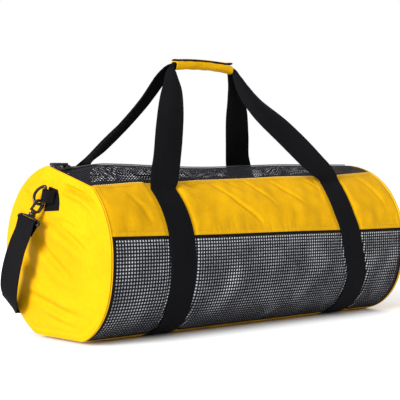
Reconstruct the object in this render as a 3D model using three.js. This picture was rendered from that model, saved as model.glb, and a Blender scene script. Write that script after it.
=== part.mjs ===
// Mesh dive gear bag: a round soft duffel of yellow fabric and black open mesh, with two webbing
// handles joined in a wrap and a shoulder strap clipped to both ends. Millimetres, +Z up,
// X along the bag, -Y its front. The origin lies on the floor under the middle of the base.
import * as THREE from 'three';
import * as BufferGeometryUtils from 'three/addons/utils/BufferGeometryUtils.js';

// ---------------------------------------------------------------- driving dimensions
const DIAMETER = 275;            // across the round ends
const LENGTH = 695;              // between the two end seams
const RADIUS = DIAMETER / 2;
const HALF = LENGTH / 2;
const BASE_DEPTH = 142;          // vertical half axis of the lower, squarer half
const BASE_POWER = 2.5;          // power of that half's superellipse
const CLOTH = 1.6;               // yellow fabric wall
const MESH = 1.2;                // open mesh wall
const LINER = 1.0;               // pale sheet behind the side mesh
const WEB = 1.8;                 // webbing thickness
const WEB_WIDTH = 52;            // handle webbing width
const STRAP_WIDTH = 38;          // shoulder strap width
const GAP = 0.35;                // between touching pieces
const PINCH = 2.15;              // how deep the webbing sits in the fabric
const PINCH_EASE = 9;            // width of the slope beside it
const CAP_BULGE = 12;            // how far the ends puff out
const CAP_POWER = 2.6;
const CAP_EDGE = 2.4;            // the end's rim beyond the seam
const BODY_EDGE = 2.8;           // the body panels' rim inside the seam
const BINDING = 4;               // width of the black binding
const BASE_SEAM = -61;           // elevation of the base seam, degrees
const FLAT_EDGE = -70.2;         // elevation where the flat of the base begins
const TAPE_HALF = 6.5;           // half angle of the zipper tape at the top
const RIM_DIP = { middle: 74, half: 26, fade: 95 };   // the left rim's top is flattened to a chord
const RIM_LIFT = { high: 5.5, fade: 75, backPower: 2.08 };   // the left rim's foot is lifted, and rounder at the back
const TOP_SAG = { depth: 5, from: -270, to: 180 };    // the top sags between the webbings

// where the body's seams run on the front: elevation in degrees against X
const SEAMS = [
  { x: -347.5, top: 52.0, low: 11.8 },
  { x: -164.0, top: 54.0, low: 10.3 },
  { x: -120.0, top: 56.2, low: 10.0 },
  { x: -44.0, top: 57.9, low: 9.8 },
  { x: 70.0, top: 59.4, low: 9.4 },
  { x: 170.0, top: 58.9, low: 8.7 },
  { x: 241.0, top: 60.5, low: 8.2 },
  { x: 347.5, top: 65.0, low: 8.0 },
];
// middle line of the two webbings sewn round the bag: X against the angle round the bag
// (90 is the top, 0 the front, -90 the bottom, -180 the back)
const WEB_LINES = [
  { turn: 60, left: -211, right: 205 },
  { turn: 52, left: -211, right: 199 },
  { turn: 43, left: -210, right: 193 },
  { turn: 33, left: -209, right: 190 },
  { turn: 22, left: -208, right: 190 },
  { turn: 5, left: -206, right: 199 },
  { turn: -9, left: -205, right: 207 },
  { turn: -25, left: -203, right: 222 },
  { turn: -40, left: -200, right: 224 },
  { turn: -55, left: -192, right: 230 },
  { turn: -90, left: -191, right: 232 },
  { turn: -125, left: -196, right: 222 },
  { turn: -155, left: -206, right: 205 },
  { turn: -180, left: -216, right: 188 },
  { turn: -205, left: -229, right: 168 },
  { turn: -240, left: -243, right: 144 },
];
const WEB_TOP = { leftFront: 46, rightFront: 51, leftBack: -229, rightBack: -231 };

// the free loops of the webbing: middle line, width, thickness and the way the face looks
const HANDLE_FRONT = [
  { x: -210.3, y: -96.6, z: 236.9, wide: 52, thick: 1.8, nx: 0, ny: -0.69, nz: 0.72 },
  { x: -206, y: -90.5, z: 248, wide: 52, thick: 1.8, nx: 0, ny: -0.80, nz: 0.60 },
  { x: -190, y: -79, z: 276, wide: 52, thick: 1.8, nx: 0, ny: -0.92, nz: 0.40 },
  { x: -164, y: -57, z: 330, wide: 52, thick: 1.8, nx: 0, ny: -0.92, nz: 0.38 },
  { x: -141, y: -37, z: 378, wide: 45, thick: 2.1, nx: 0, ny: -0.94, nz: 0.34 },
  { x: -131, y: -25, z: 406, wide: 34, thick: 2.6, nx: 0, ny: -0.97, nz: 0.25 },
  { x: -121, y: -11, z: 428, wide: 22, thick: 3.0, nx: 0, ny: -1, nz: 0.1 },
  { x: -113, y: -5, z: 435.2, wide: 15, thick: 3.2, nx: 0, ny: -1, nz: 0 },
  { x: -106.5, y: -4, z: 438.4, wide: 12, thick: 3.2, nx: 0, ny: -1, nz: 0 },
  { x: -72, y: -4.2, z: 441.2, wide: 13, thick: 3.2, nx: 0, ny: -1, nz: 0 },
  { x: -35, y: -4.2, z: 442.2, wide: 13, thick: 3.2, nx: 0, ny: -1, nz: 0 },
  { x: 2, y: -4.2, z: 441.2, wide: 13, thick: 3.2, nx: 0, ny: -1, nz: 0 },
  { x: 28.5, y: -4, z: 439.1, wide: 12, thick: 3.2, nx: 0, ny: -1, nz: 0 },
  { x: 34, y: -6, z: 435.4, wide: 15, thick: 3.2, nx: 0, ny: -1, nz: 0 },
  { x: 37, y: -12, z: 425, wide: 20, thick: 3.0, nx: 0, ny: -1, nz: 0.1 },
  { x: 42, y: -21, z: 407, wide: 26, thick: 2.8, nx: 0, ny: -0.97, nz: 0.25 },
  { x: 58, y: -38, z: 375, wide: 34, thick: 2.4, nx: 0, ny: -0.94, nz: 0.34 },
  { x: 108, y: -57, z: 330, wide: 50, thick: 1.8, nx: 0, ny: -0.92, nz: 0.38 },
  { x: 157, y: -76.5, z: 281, wide: 52, thick: 1.8, nx: 0, ny: -0.90, nz: 0.42 },
  { x: 184, y: -84, z: 259, wide: 52, thick: 1.8, nx: 0, ny: -0.80, nz: 0.60 },
  { x: 197.5, y: -87.6, z: 245.6, wide: 52, thick: 1.8, nx: 0, ny: -0.63, nz: 0.78 },
];
const HANDLE_BACK = [
  { x: -239.3, y: 91.2, z: 242.2, wide: 52, thick: 1.8, nx: 0, ny: 0.66, nz: 0.75 },
  { x: -238, y: 85, z: 256, wide: 52, thick: 1.8, nx: -0.15, ny: 0.78, nz: 0.58 },
  { x: -225, y: 76, z: 280, wide: 52, thick: 1.8, nx: -0.35, ny: 0.76, nz: 0.50 },
  { x: -196, y: 65, z: 308, wide: 52, thick: 1.8, nx: -0.45, ny: 0.70, nz: 0.50 },
  { x: -169, y: 53, z: 337, wide: 50, thick: 1.9, nx: -0.45, ny: 0.70, nz: 0.50 },
  { x: -136, y: 36, z: 380, wide: 40, thick: 2.2, nx: -0.40, ny: 0.78, nz: 0.45 },
  { x: -122, y: 17, z: 416, wide: 26, thick: 2.8, nx: -0.2, ny: 0.95, nz: 0.2 },
  { x: -113, y: 5, z: 435.2, wide: 15, thick: 3.2, nx: 0, ny: 1, nz: 0 },
  { x: -106.5, y: 4, z: 438.4, wide: 12, thick: 3.2, nx: 0, ny: 1, nz: 0 },
  { x: -72, y: 4.2, z: 441.2, wide: 13, thick: 3.2, nx: 0, ny: 1, nz: 0 },
  { x: -35, y: 4.2, z: 442.2, wide: 13, thick: 3.2, nx: 0, ny: 1, nz: 0 },
  { x: 2, y: 4.2, z: 441.2, wide: 13, thick: 3.2, nx: 0, ny: 1, nz: 0 },
  { x: 28.5, y: 4, z: 439.1, wide: 12, thick: 3.2, nx: 0, ny: 1, nz: 0 },
  { x: 34, y: 6, z: 435.6, wide: 15, thick: 3.2, nx: 0, ny: 1, nz: 0 },
  { x: 40, y: 12, z: 426, wide: 22, thick: 3.0, nx: 0, ny: 1, nz: 0.1 },
  { x: 55, y: 24, z: 406, wide: 32, thick: 2.5, nx: 0, ny: 0.96, nz: 0.28 },
  { x: 78, y: 38, z: 375, wide: 46, thick: 2.0, nx: 0, ny: 0.93, nz: 0.36 },
  { x: 104, y: 60, z: 322, wide: 52, thick: 1.8, nx: 0, ny: 0.92, nz: 0.38 },
  { x: 124, y: 78, z: 280, wide: 52, thick: 1.8, nx: 0, ny: 0.90, nz: 0.44 },
  { x: 140, y: 85.5, z: 259, wide: 52, thick: 1.8, nx: 0, ny: 0.78, nz: 0.62 },
  { x: 150.4, y: 89.4, z: 244.2, wide: 52, thick: 1.8, nx: 0, ny: 0.64, nz: 0.77 },
];
// the wrap that joins the handles: stations along X
const GRIP = [
  { x: -105, z: 438.6, high: 22, deep: 21 },
  { x: -72, z: 441.4, high: 21, deep: 20 },
  { x: -35, z: 442.2, high: 20.5, deep: 20 },
  { x: 2, z: 441.2, high: 20.5, deep: 20 },
  { x: 27, z: 439.2, high: 21, deep: 20.5 },
];
const GRIP_WALL = 1.4;

// the snap hooks' line: from the ring's lower side down and out to the strap bar
const RING_CROSS = { x: -370.7, y: 14.2, z: 214.3 };
const HOOK_LEAN = 33;            // degrees from vertical, outwards
const HOOK_SIDE = 11;            // and towards the back
const LOOP_SWIVEL = 14;          // the strap loop's turn round the hook's line, degrees
const RING_WIRE = 2.2;           // radius
const RING = [                   // middle line of the D-ring, seen from outside
  { y: 0.1, z: 240.2 }, { y: 5.9, z: 214.4 }, { y: 10.5, z: 213.4 }, { y: 18, z: 213.4 }, { y: 26.5, z: 215.5 },
  { y: 31.1, z: 222.5 }, { y: 29.7, z: 231 }, { y: 21.5, z: 236.4 }, { y: 9.5, z: 239.8 },
];
const RING_PLANE = { x: -369.3, slope: 0.14, y: 1.5 };
const HOOK = { half: 8.7, slot: 4.5, arc: 2, slotEnd: 11.5, end: 15.2, neck: 3, neckEnd: 18.4, thick: 6 };
const GATE = { from: 1.6, to: 14.2, pivot: 12.6, wide: 3.4 };
const LOOP = { from: 18.8, collar: 6.5, collarEnd: 23, half: 25.5, shoulder: 27.5, hole: 21, barTop: 30.4, bar: 3.8, thick: 4.4 };
// the shoulder strap beyond the bar, left half, then along the floor behind the bag
const STRAP = [
  { x: -394, y: 26, z: 170, wy: 0.96, wz: 0.24 },
  { x: -394.6, y: 37, z: 149, wy: 0.93, wz: 0.37 },
  { x: -394.5, y: 49, z: 122, wy: 0.915, wz: 0.40 },
  { x: -392, y: 60, z: 98, wy: 0.9, wz: 0.43 },
  { x: -388, y: 70, z: 76, wy: 0.88, wz: 0.46 },
  { x: -381, y: 79, z: 60, wy: 0.87, wz: 0.48 },
  { x: -373, y: 93, z: 53, wy: 0.80, wz: 0.55 },
  { x: -362.5, y: 108, z: 51, wy: 0.72, wz: 0.66 },
  { x: -353.5, y: 119, z: 49.5, wy: 0.64, wz: 0.76 },
  { x: -342, y: 124, z: 48, wy: 0.62, wz: 0.78 },
  { x: -322, y: 125, z: 45, wy: 0.62, wz: 0.78 },
  { x: -295, y: 126, z: 38, wy: 0.65, wz: 0.76 },
  { x: -260, y: 129, z: 25, wy: 0.76, wz: 0.65 },
  { x: -225, y: 132, z: 11, wy: 0.92, wz: 0.40 },
  { x: -192, y: 132, z: 2.6, wy: 1, wz: 0.08 },
  { x: -155, y: 131, z: 1.3, wy: 1, wz: 0.0 },
  { x: -50, y: 130, z: 1.3, wy: 1, wz: 0.0 },
];

const YELLOW = 0xf0b80a, BLACK = 0x1a1a1e, NET = 0x23262c, PALE = 0xe9eaec, METAL = 0x2a2a2e;
const rad = Math.PI / 180;

// ---------------------------------------------------------------- small helpers
const V = (x, y, z) => new THREE.Vector3(x, y, z);
function table(rows, key, column, at) {
  const up = rows[0][key] < rows[rows.length - 1][key];
  const list = up ? rows : [...rows].reverse();
  if (at <= list[0][key]) return list[0][column];
  for (let i = 1; i < list.length; i++) {
    if (at <= list[i][key]) {
      const f = (at - list[i - 1][key]) / (list[i][key] - list[i - 1][key]);
      return list[i - 1][column] + f * (list[i][column] - list[i - 1][column]);
    }
  }
  return list[list.length - 1][column];
}
const smooth = (f) => { const c = Math.min(1, Math.max(0, f)); return c * c * (3 - 2 * c); };

// a closed mesh from loose triangles, its shared corners merged
class Soup {
  constructor() { this.points = []; this.faces = []; }
  point(p) { this.points.push(p.x, p.y, p.z); return this.points.length / 3 - 1; }
  tri(a, b, c) { this.faces.push(a, b, c); }
  quad(a, b, c, d) { this.tri(a, b, c); this.tri(a, c, d); }
  geometry() {
    const g = new THREE.BufferGeometry();
    g.setAttribute('position', new THREE.Float32BufferAttribute(this.points, 3));
    g.setIndex(this.faces);
    return BufferGeometryUtils.mergeVertices(g, 1e-3);
  }
}
// turned inside out if its volume is negative
function faceOut(g) {
  const p = g.attributes.position, ix = g.index.array;
  let volume = 0;
  const a = V(), b = V(), c = V();
  for (let i = 0; i < ix.length; i += 3) {
    a.fromBufferAttribute(p, ix[i]); b.fromBufferAttribute(p, ix[i + 1]); c.fromBufferAttribute(p, ix[i + 2]);
    volume += a.dot(b.cross(c)) / 6;
  }
  if (volume < 0) for (let i = 0; i < ix.length; i += 3) [ix[i + 1], ix[i + 2]] = [ix[i + 2], ix[i + 1]];
  return g;
}
function weld(geometry) {
  for (const k of ['normal', 'uv']) geometry.deleteAttribute(k);
  return BufferGeometryUtils.mergeVertices(geometry, 1e-3);
}
const mirrorX = (g) => { const m = weld(g.clone()); m.scale(-1, 1, 1); return faceOut(m); };

const bag = new THREE.Group();
function add(name, geometry, color, roughness = 0.8, metalness = 0) {
  const g = faceOut(weld(geometry));
  g.computeVertexNormals();
  const mesh = new THREE.Mesh(g, new THREE.MeshStandardMaterial({ color, roughness, metalness }));
  mesh.name = name;
  bag.add(mesh);
  return mesh;
}

// a sheet between an outer and an inner grid of points; keep(i, j) leaves cells out
function sheet(outer, inner, keep = () => true, loop = false) {
  const s = new Soup(), n = outer.length, m = outer[0].length;
  const o = outer.map((row) => row.map((p) => s.point(p)));
  const q = inner.map((row) => row.map((p) => s.point(p)));
  const cell = (i, j) => {
    if (loop) j = (j + m) % m;
    return i >= 0 && i < n - 1 && j >= 0 && j < (loop ? m : m - 1) && keep(i, j);
  };
  for (let i = 0; i < n - 1; i++) for (let j = 0; j < (loop ? m : m - 1); j++) {
    if (!cell(i, j)) continue;
    const k = loop ? (j + 1) % m : j + 1;
    s.quad(o[i][j], o[i + 1][j], o[i + 1][k], o[i][k]);
    s.quad(q[i][j], q[i][k], q[i + 1][k], q[i + 1][j]);
    if (!cell(i - 1, j)) s.quad(o[i][j], o[i][k], q[i][k], q[i][j]);
    if (!cell(i + 1, j)) s.quad(o[i + 1][k], o[i + 1][j], q[i + 1][j], q[i + 1][k]);
    if (!cell(i, j - 1)) s.quad(o[i + 1][j], o[i][j], q[i][j], q[i + 1][j]);
    if (!cell(i, j + 1)) s.quad(o[i][k], o[i + 1][k], q[i + 1][k], q[i][k]);
  }
  return s.geometry();
}

// a solid through sections that each have the same number of corners
function loft(sections, closed = false) {
  const s = new Soup(), n = sections.length, m = sections[0].length;
  const id = sections.map((row) => row.map((p) => s.point(p)));
  for (let i = 0; i < (closed ? n : n - 1); i++) for (let j = 0; j < m; j++) {
    const a = (i + 1) % n, k = (j + 1) % m;
    s.quad(id[i][j], id[a][j], id[a][k], id[i][k]);
  }
  if (!closed) {
    for (let j = 1; j < m - 1; j++) {
      s.tri(id[0][0], id[0][j], id[0][j + 1]);
      s.tri(id[n - 1][0], id[n - 1][j + 1], id[n - 1][j]);
    }
  }
  return s.geometry();
}

// ---------------------------------------------------------------- the bag's surface
const seamTop = (x) => table(SEAMS, 'x', 'top', x);
const seamLow = (x) => table(SEAMS, 'x', 'low', x);
const webLine = (turn, side) => table(WEB_LINES, 'turn', side, turn);

function radius(x, turn) {
  const c = Math.cos(turn * rad), s = Math.sin(turn * rad);
  let r = RADIUS;
  if (s < 0) {
    const left = 1 - smooth((x + HALF) / RIM_LIFT.fade), n = BASE_POWER - (c < 0 ? (BASE_POWER - RIM_LIFT.backPower) * left : 0);
    r = ((Math.abs(c) / RADIUS) ** n + (Math.abs(s) / BASE_DEPTH) ** n) ** (-1 / n);
    r = Math.min(r, (RADIUS - RIM_LIFT.high * left) / Math.abs(s));
  }
  const off = ((turn - RIM_DIP.middle + 540) % 360) - 180;
  if (Math.abs(off) < RIM_DIP.half) {
    const chord = RADIUS * Math.cos(RIM_DIP.half * rad) / Math.cos(off * rad);
    r -= (RADIUS - chord) * (1 - smooth((x + HALF) / RIM_DIP.fade));
  }
  if (s > 0) {
    const f = (x - TOP_SAG.from) / (TOP_SAG.to - TOP_SAG.from);
    if (f > 0 && f < 1) r -= TOP_SAG.depth * Math.sin(f * Math.PI) ** 2 * s * s;
  }
  return r;
}
function pinch(x, turn) {
  let p = 0;
  for (const side of ['left', 'right']) {
    if (turn > 62 || turn < -242) continue;
    const away = Math.abs(x - webLine(turn, side)) - WEB_WIDTH / 2 - 1.5;
    p = Math.max(p, PINCH * (1 - smooth(away / PINCH_EASE)));
  }
  return p;
}
function raw(x, turn) {
  let r = radius(x, turn) - pinch(x, turn);
  const s = Math.sin(turn * rad);
  if (s < 0) r = Math.min(r, (RADIUS - pinch(x, turn) * Math.min(1, (-s - 0.5) * 4)) / Math.abs(s));
  return V(x, -r * Math.cos(turn * rad), RADIUS + r * s);
}
function surface(x, turn, out = 0) {
  const p = raw(x, turn);
  if (!out) return p;
  const dt = raw(x, turn + 0.6).sub(raw(x, turn - 0.6));
  const dx = raw(x + 0.8, turn).sub(raw(x - 0.8, turn));
  return p.addScaledVector(dx.cross(dt).normalize(), -out * -1);
}

// stations along the bag follow the webbings' slanting lines
function stations(turn) {
  const l = webLine(turn, 'left'), r = webLine(turn, 'right'), w = WEB_WIDTH / 2, e = HALF - BODY_EDGE;
  return [-e, -318, -286, l - w - 11, l - w - 1.5, l, l + w + 1.5, l + w + 11, -116, -66, -14, 38, 90,
    r - w - 11, r - w - 1.5, r, r + w + 1.5, r + w + 11, 300, 324, e];
}
// the turns of each panel's edges and rows; 'back' mirrors them over the top
function rows(panel, x, trim) {
  const a = seamTop(x), b = seamLow(x), seam = 0.075, edge = (BINDING / 2 + GAP) / RADIUS / rad;
  const spread = (from, to, n) => Array.from({ length: n + 1 }, (_, i) => from + (to - from) * i / n);
  if (panel === 'top') return spread(90 - TAPE_HALF - 0.15, a + seam, 3);
  if (panel === 'band') return spread(a - seam, b + edge, 5);
  if (panel === 'side') return spread(b - edge - trim, BASE_SEAM + edge + trim, 6);
  if (panel === 'base') return [BASE_SEAM - edge, FLAT_EDGE, -90, -180 - FLAT_EDGE, -180 - BASE_SEAM + edge];
  if (panel === 'tape') return [90 + TAPE_HALF, 90 + 2.5, 90 - 2.5, 90 - TAPE_HALF];
  return [];
}
const over = (turn) => 180 - turn > 90 ? -180 - turn : 180 - turn;   // the same height on the back
function panel(kind, thickness, back = false, offset = 0, trim = 0) {
  const probe = rows(kind, 0, trim).length, outer = [], inner = [];
  for (let i = 0; i < stations(0).length; i++) {
    const o = [], n = [];
    for (let j = 0; j < probe; j++) {
      let x = stations(0)[i], turn = 0;
      for (let k = 0; k < 4; k++) {          // the station and the row lean on each other
        turn = rows(kind, x, trim)[j];
        if (back) turn = over(turn);
        x = stations(turn > 60 || turn < -240 ? (turn > 90 || turn < -240 ? -240 : 60) : turn)[i];
      }
      if (kind === 'side' || trim) {
        const inset = BINDING + GAP + trim * 2;
        if (i === 0) x += inset;
        if (i === stations(0).length - 1) x -= inset;
      }
      o.push(surface(x, turn, offset));
      n.push(surface(x, turn, offset - thickness));
    }
    outer.push(o); inner.push(n);
  }
  return sheet(outer, inner);
}

add('top_mesh_front', panel('top', MESH), NET, 0.7);
add('top_mesh_back', panel('top', MESH, true), NET, 0.7);
add('band_front', panel('band', CLOTH), YELLOW, 0.55);
add('band_back', panel('band', CLOTH, true), YELLOW, 0.55);
add('side_mesh_front', panel('side', MESH), NET, 0.7);
add('side_mesh_back', panel('side', MESH, true), NET, 0.7);
add('mesh_liner_front', panel('side', LINER, false, -MESH - 0.5, 0.5), PALE, 0.8);
add('mesh_liner_back', panel('side', LINER, true, -MESH - 0.5, 0.5), PALE, 0.8);
add('base_panel', panel('base', CLOTH), YELLOW, 0.55);

// the binding round each side mesh: a frame that follows the same surface
function binding(back) {
  const half = BINDING / 2 / RADIUS / rad, outer = [], inner = [], e = HALF - BODY_EDGE;
  const count = stations(0).length + 2;
  for (let i = 0; i < count; i++) {
    const o = [], n = [];
    for (let j = 0; j < 9; j++) {
      let x = -e, turn = 0;
      const at = (turnNow) => {
        const s = stations(turnNow);
        if (i === 0) return s[0];
        if (i === 1) return s[0] + BINDING;
        if (i === count - 2) return s[s.length - 1] - BINDING;
        if (i === count - 1) return s[s.length - 1];
        return s[i - 1];
      };
      for (let k = 0; k < 4; k++) {
        const b = seamLow(x);
        turn = j === 0 ? b + half : j === 1 ? b - half : j === 7 ? BASE_SEAM + half : j === 8 ? BASE_SEAM - half
          : b - half + (BASE_SEAM - b + 2 * half) * (j - 1) / 6;
        if (back) turn = over(turn);
        x = at(turn);
      }
      o.push(surface(x, turn, 0));
      n.push(surface(x, turn, -CLOTH));
    }
    outer.push(o); inner.push(n);
  }
  return sheet(outer, inner, (i, j) => i === 0 || i === count - 2 || j === 0 || j === 7);
}
add('mesh_binding_front', binding(false), BLACK, 0.8);
add('mesh_binding_back', binding(true), BLACK, 0.8);

// ---------------------------------------------------------------- the ends and their seam cords
const RIM_TURNS = Array.from({ length: 36 }, (_, i) => 90 - i * 10)
  .map((t) => (t === -70 ? FLAT_EDGE : t === -110 ? -180 - FLAT_EDGE : t));
const capShape = (side, f) => -side * -1 * (HALF + CAP_EDGE + CAP_BULGE * (1 - Math.min(1, f) ** CAP_POWER));
function rimPoint(side, turn, inward = 0) {
  const x = side * HALF, r = radius(x, turn) - inward, s = Math.sin(turn * rad);
  const rr = s < 0 ? Math.min(r, (RADIUS - Math.max(0, inward)) / Math.abs(s)) : r;
  return V(x, -rr * Math.cos(turn * rad), RADIUS + rr * s);
}
function cap(side) {
  const rings = [0.3, 0.56, 0.78, 0.92, 1], s = new Soup();
  const layer = (depth) => {
    const centre = s.point(V(side * (Math.abs(capShape(side, 0)) - depth), 0, RADIUS));
    const ids = rings.map((f) => RIM_TURNS.map((t) => {
      const p = rimPoint(side, t, 0.2);
      return s.point(V(side * (Math.abs(capShape(side, f)) - depth), p.y * f, RADIUS + (p.z - RADIUS) * f));
    }));
    return { centre, ids };
  };
  const a = layer(0), b = layer(CLOTH), m = RIM_TURNS.length;
  for (let j = 0; j < m; j++) {
    const k = (j + 1) % m;
    s.tri(a.centre, a.ids[0][j], a.ids[0][k]);
    s.tri(b.centre, b.ids[0][k], b.ids[0][j]);
    for (let i = 0; i < rings.length - 1; i++) {
      s.quad(a.ids[i][j], a.ids[i + 1][j], a.ids[i + 1][k], a.ids[i][k]);
      s.quad(b.ids[i][j], b.ids[i][k], b.ids[i + 1][k], b.ids[i + 1][j]);
    }
    const e = rings.length - 1;
    s.quad(a.ids[e][j], b.ids[e][j], b.ids[e][k], a.ids[e][k]);
  }
  return s.geometry();
}
function piping(side) {
  const high = 2.4, wide = (CAP_EDGE - CLOTH + BODY_EDGE) - 2 * 0.3;
  const middle = side * (HALF + CAP_EDGE - CLOTH - 0.3 - wide / 2);
  return loft(RIM_TURNS.map((t) => {
    const ring = [[-0.5, 0.35], [-0.25, 1], [0.25, 1], [0.5, 0.35], [0.5, -1], [-0.5, -1]];
    return ring.map(([u, v]) => {
      const p = rimPoint(side, t, 0.2 + (v > 0 ? (1 - v) * high / 2 : high));
      return V(middle + u * wide, p.y, p.z);
    });
  }), true);
}
add('end_cap_left', cap(-1), YELLOW, 0.5);
add('end_cap_right', cap(1), YELLOW, 0.5);
add('end_piping_left', piping(-1), YELLOW, 0.5);
add('end_piping_right', piping(1), YELLOW, 0.5);

// ---------------------------------------------------------------- the zipper along the top
function topStrip(half, low, high, from, to) {
  const xs = [from, -318, -286, -240, -180, -116, -66, -14, 38, 90, 150, 220, 300, to];
  const turns = half.length ? half : [90 + half, 90 - half];
  const grid = (out) => xs.map((x) => turns.map((t) => surface(x, t, out)));
  return sheet(grid(high), grid(low));
}
const tapeEnd = HALF - BODY_EDGE;
add('zipper_tape', topStrip([90 + TAPE_HALF, 90 + 1.3, 90 - 1.3, 90 - TAPE_HALF], -1.1, 0, -tapeEnd, tapeEnd), BLACK, 0.85);
add('zipper_coil', topStrip([90 + 1.25, 90 - 1.25], GAP, GAP + 1.8, -tapeEnd + 4, tapeEnd - 4), BLACK, 0.5);

const PIVOT = { x: -329, rise: 7.4 };
const sliderBase = raw(PIVOT.x + 6, 90).z + 0.3;
function extrude(points, depth, holes = []) {
  const shape = new THREE.Shape(points.map(([a, b]) => new THREE.Vector2(a, b)));
  for (const h of holes) shape.holes.push(new THREE.Path(h.map(([a, b]) => new THREE.Vector2(a, b))));
  const g = new THREE.ExtrudeGeometry(shape, { depth, bevelEnabled: false, steps: 1 });
  g.translate(0, 0, -depth / 2);
  return g;
}
// places a flat outline: its first axis along a, its second along b
function place(g, origin, a, b) {
  const c = a.clone().cross(b);
  return g.applyMatrix4(new THREE.Matrix4().makeBasis(a, b, c).setPosition(origin));
}
const slider = extrude([[-5, 0], [5, 0], [5, 6.4], [2.6, 6.4], [2.6, 1.5], [-2.6, 1.5], [-2.6, 6.4], [-5, 6.4]], 11);
add('zipper_slider', place(slider, V(PIVOT.x, 0, sliderBase + 2.75), V(0, 1, 0), V(0, 0, 1)), METAL, 0.4, 0.6);
// the pull lies over the left rim: a rounded ring on a short neck that turns on the slider
function pullGeometry() {
  const oval = (a, b, n, cx) => Array.from({ length: n }, (_, i) => {
    const t = i / n * 2 * Math.PI;
    return [cx + a * Math.cos(t), b * Math.sin(t)];
  });
  const outline = [[1.9, -2.1], [1.9, 2.1], [-6.5, 2.1]];
  for (const [x, y] of oval(11.5, 6.6, 20, -20)) if (x < -9.2) outline.push([x, y]);
  outline.push([-6.5, -2.1]);
  // ordered round the outline
  const body = outline.slice(3, -1);
  body.sort((p, q) => Math.atan2(q[1], q[0] + 20) - Math.atan2(p[1], p[0] + 20));
  const upper = body.filter(([, y]) => y >= 0).sort((p, q) => q[0] - p[0]);
  const lower = body.filter(([, y]) => y < 0).sort((p, q) => p[0] - q[0]);
  const pts = [[1.9, 2.1], [-6.5, 2.1], ...upper, ...lower, [-6.5, -2.1], [1.9, -2.1]];
  return extrude(pts, 2.6, [oval(7, 3.2, 12, -21)]);
}
const pullAt = V(PIVOT.x, 0, sliderBase + PIVOT.rise - 0.2);
add('zipper_pull', place(pullGeometry(), pullAt, V(1, 0, 0), V(0, 1, 0)), BLACK, 0.6);

// ---------------------------------------------------------------- webbing round the bag
function webBand(side) {
  const front = WEB_TOP[side + 'Front'], back = WEB_TOP[side + 'Back'], w = WEB_WIDTH / 2;
  // its folds fall on the same rows as the panels below it
  const kinds = [['band', false], ['side', false], ['base', false], ['side', true], ['band', true]];
  const folds = [];
  for (const [kind, isBack] of kinds) {
    let order = rows(kind, 0, 0).map((_, j) => j);
    if (isBack) order = order.reverse();
    for (const j of order) folds.push([kind, isBack, j]);
  }
  const turnOf = ([kind, isBack, j], away) => {
    let turn = 0;
    for (let k = 0; k < 6; k++) {
      turn = rows(kind, webLine(turn, side) + away, 0)[j];
      if (isBack) turn = over(turn);
    }
    return turn;
  };
  const used = folds.filter((f) => turnOf(f, 0) < front - 0.8 && turnOf(f, 0) > back + 0.8);
  const grid = (out) => [-w, 0, w].map((away) => [front, ...used.map((f) => turnOf(f, away)), back]
    .map((turn) => surface(webLine(turn, side) + away, turn, out)));
  return sheet(grid(GAP + WEB - 0.05), grid(GAP + 0.02));
}
add('webbing_left', webBand('left'), BLACK, 0.85);
add('webbing_right', webBand('right'), BLACK, 0.85);

// ---------------------------------------------------------------- a band of webbing through table rows
function ribbon(list) {
  const at = list.map((r) => V(r.x, r.y, r.z));
  return loft(list.map((r, i) => {
    const t = at[Math.min(i + 1, at.length - 1)].clone().sub(at[Math.max(i - 1, 0)]).normalize();
    const across = r.wx === undefined
      ? t.clone().cross(V(r.nx, r.ny, r.nz)).normalize()
      : V(r.wx, r.wy, r.wz).addScaledVector(t, -t.dot(V(r.wx, r.wy, r.wz))).normalize();
    const up = across.clone().cross(t).normalize();
    const w = r.wide / 2, h = r.thick / 2;
    return [[-w, -h], [w, -h], [w, h], [-w, h]].map(([a, b]) => at[i].clone().addScaledVector(across, a).addScaledVector(up, b));
  }));
}
add('handle_front', ribbon(HANDLE_FRONT), BLACK, 0.85);
add('handle_back', ribbon(HANDLE_BACK), BLACK, 0.85);

// the wrap round both handles, and the black closure strip along its top
const ROUND = [[-0.5, -0.22], [-0.5, 0.22], [-0.26, 0.5], [0.26, 0.5], [0.5, 0.22], [0.5, -0.22], [0.26, -0.5], [-0.26, -0.5]];
const wrapGrid = (wall) => GRIP.map((g) => ROUND.map(([a, b]) => V(g.x, a * (g.deep - 2 * wall), g.z + b * (g.high - 2 * wall))));
add('grip_wrap', sheet(wrapGrid(0), wrapGrid(GRIP_WALL), () => true, true), YELLOW, 0.6);
add('grip_flap', loft(GRIP.map((g) => [[-8, 0.35], [3, 0.35], [3, 1.3], [-8, 2.4]]
  .map(([a, b]) => V(g.x * 1.04 + 1.2, a * 0.55, g.z + g.high / 2 + b)))), BLACK, 0.9);

// ---------------------------------------------------------------- hooks, rings and tabs, left, then mirrored
const lean = HOOK_LEAN * rad;
const U = V(-Math.sin(lean), Math.sin(HOOK_SIDE * rad), -Math.cos(lean)).normalize();   // down the hook
const Y = V(0, 1, 0).addScaledVector(U, -U.y).normalize();                               // along the ring's wire
const N = U.clone().cross(Y).normalize();                                                // towards the end cap
const cross = V(RING_CROSS.x, RING_CROSS.y, RING_CROSS.z);
const both = (name, geometry, ...finish) => {
  add(name + '_left', geometry, ...finish);
  add(name + '_right', mirrorX(geometry), ...finish);
};

const ringX = (y) => RING_PLANE.x - (y - RING_PLANE.y) * RING_PLANE.slope;
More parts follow.
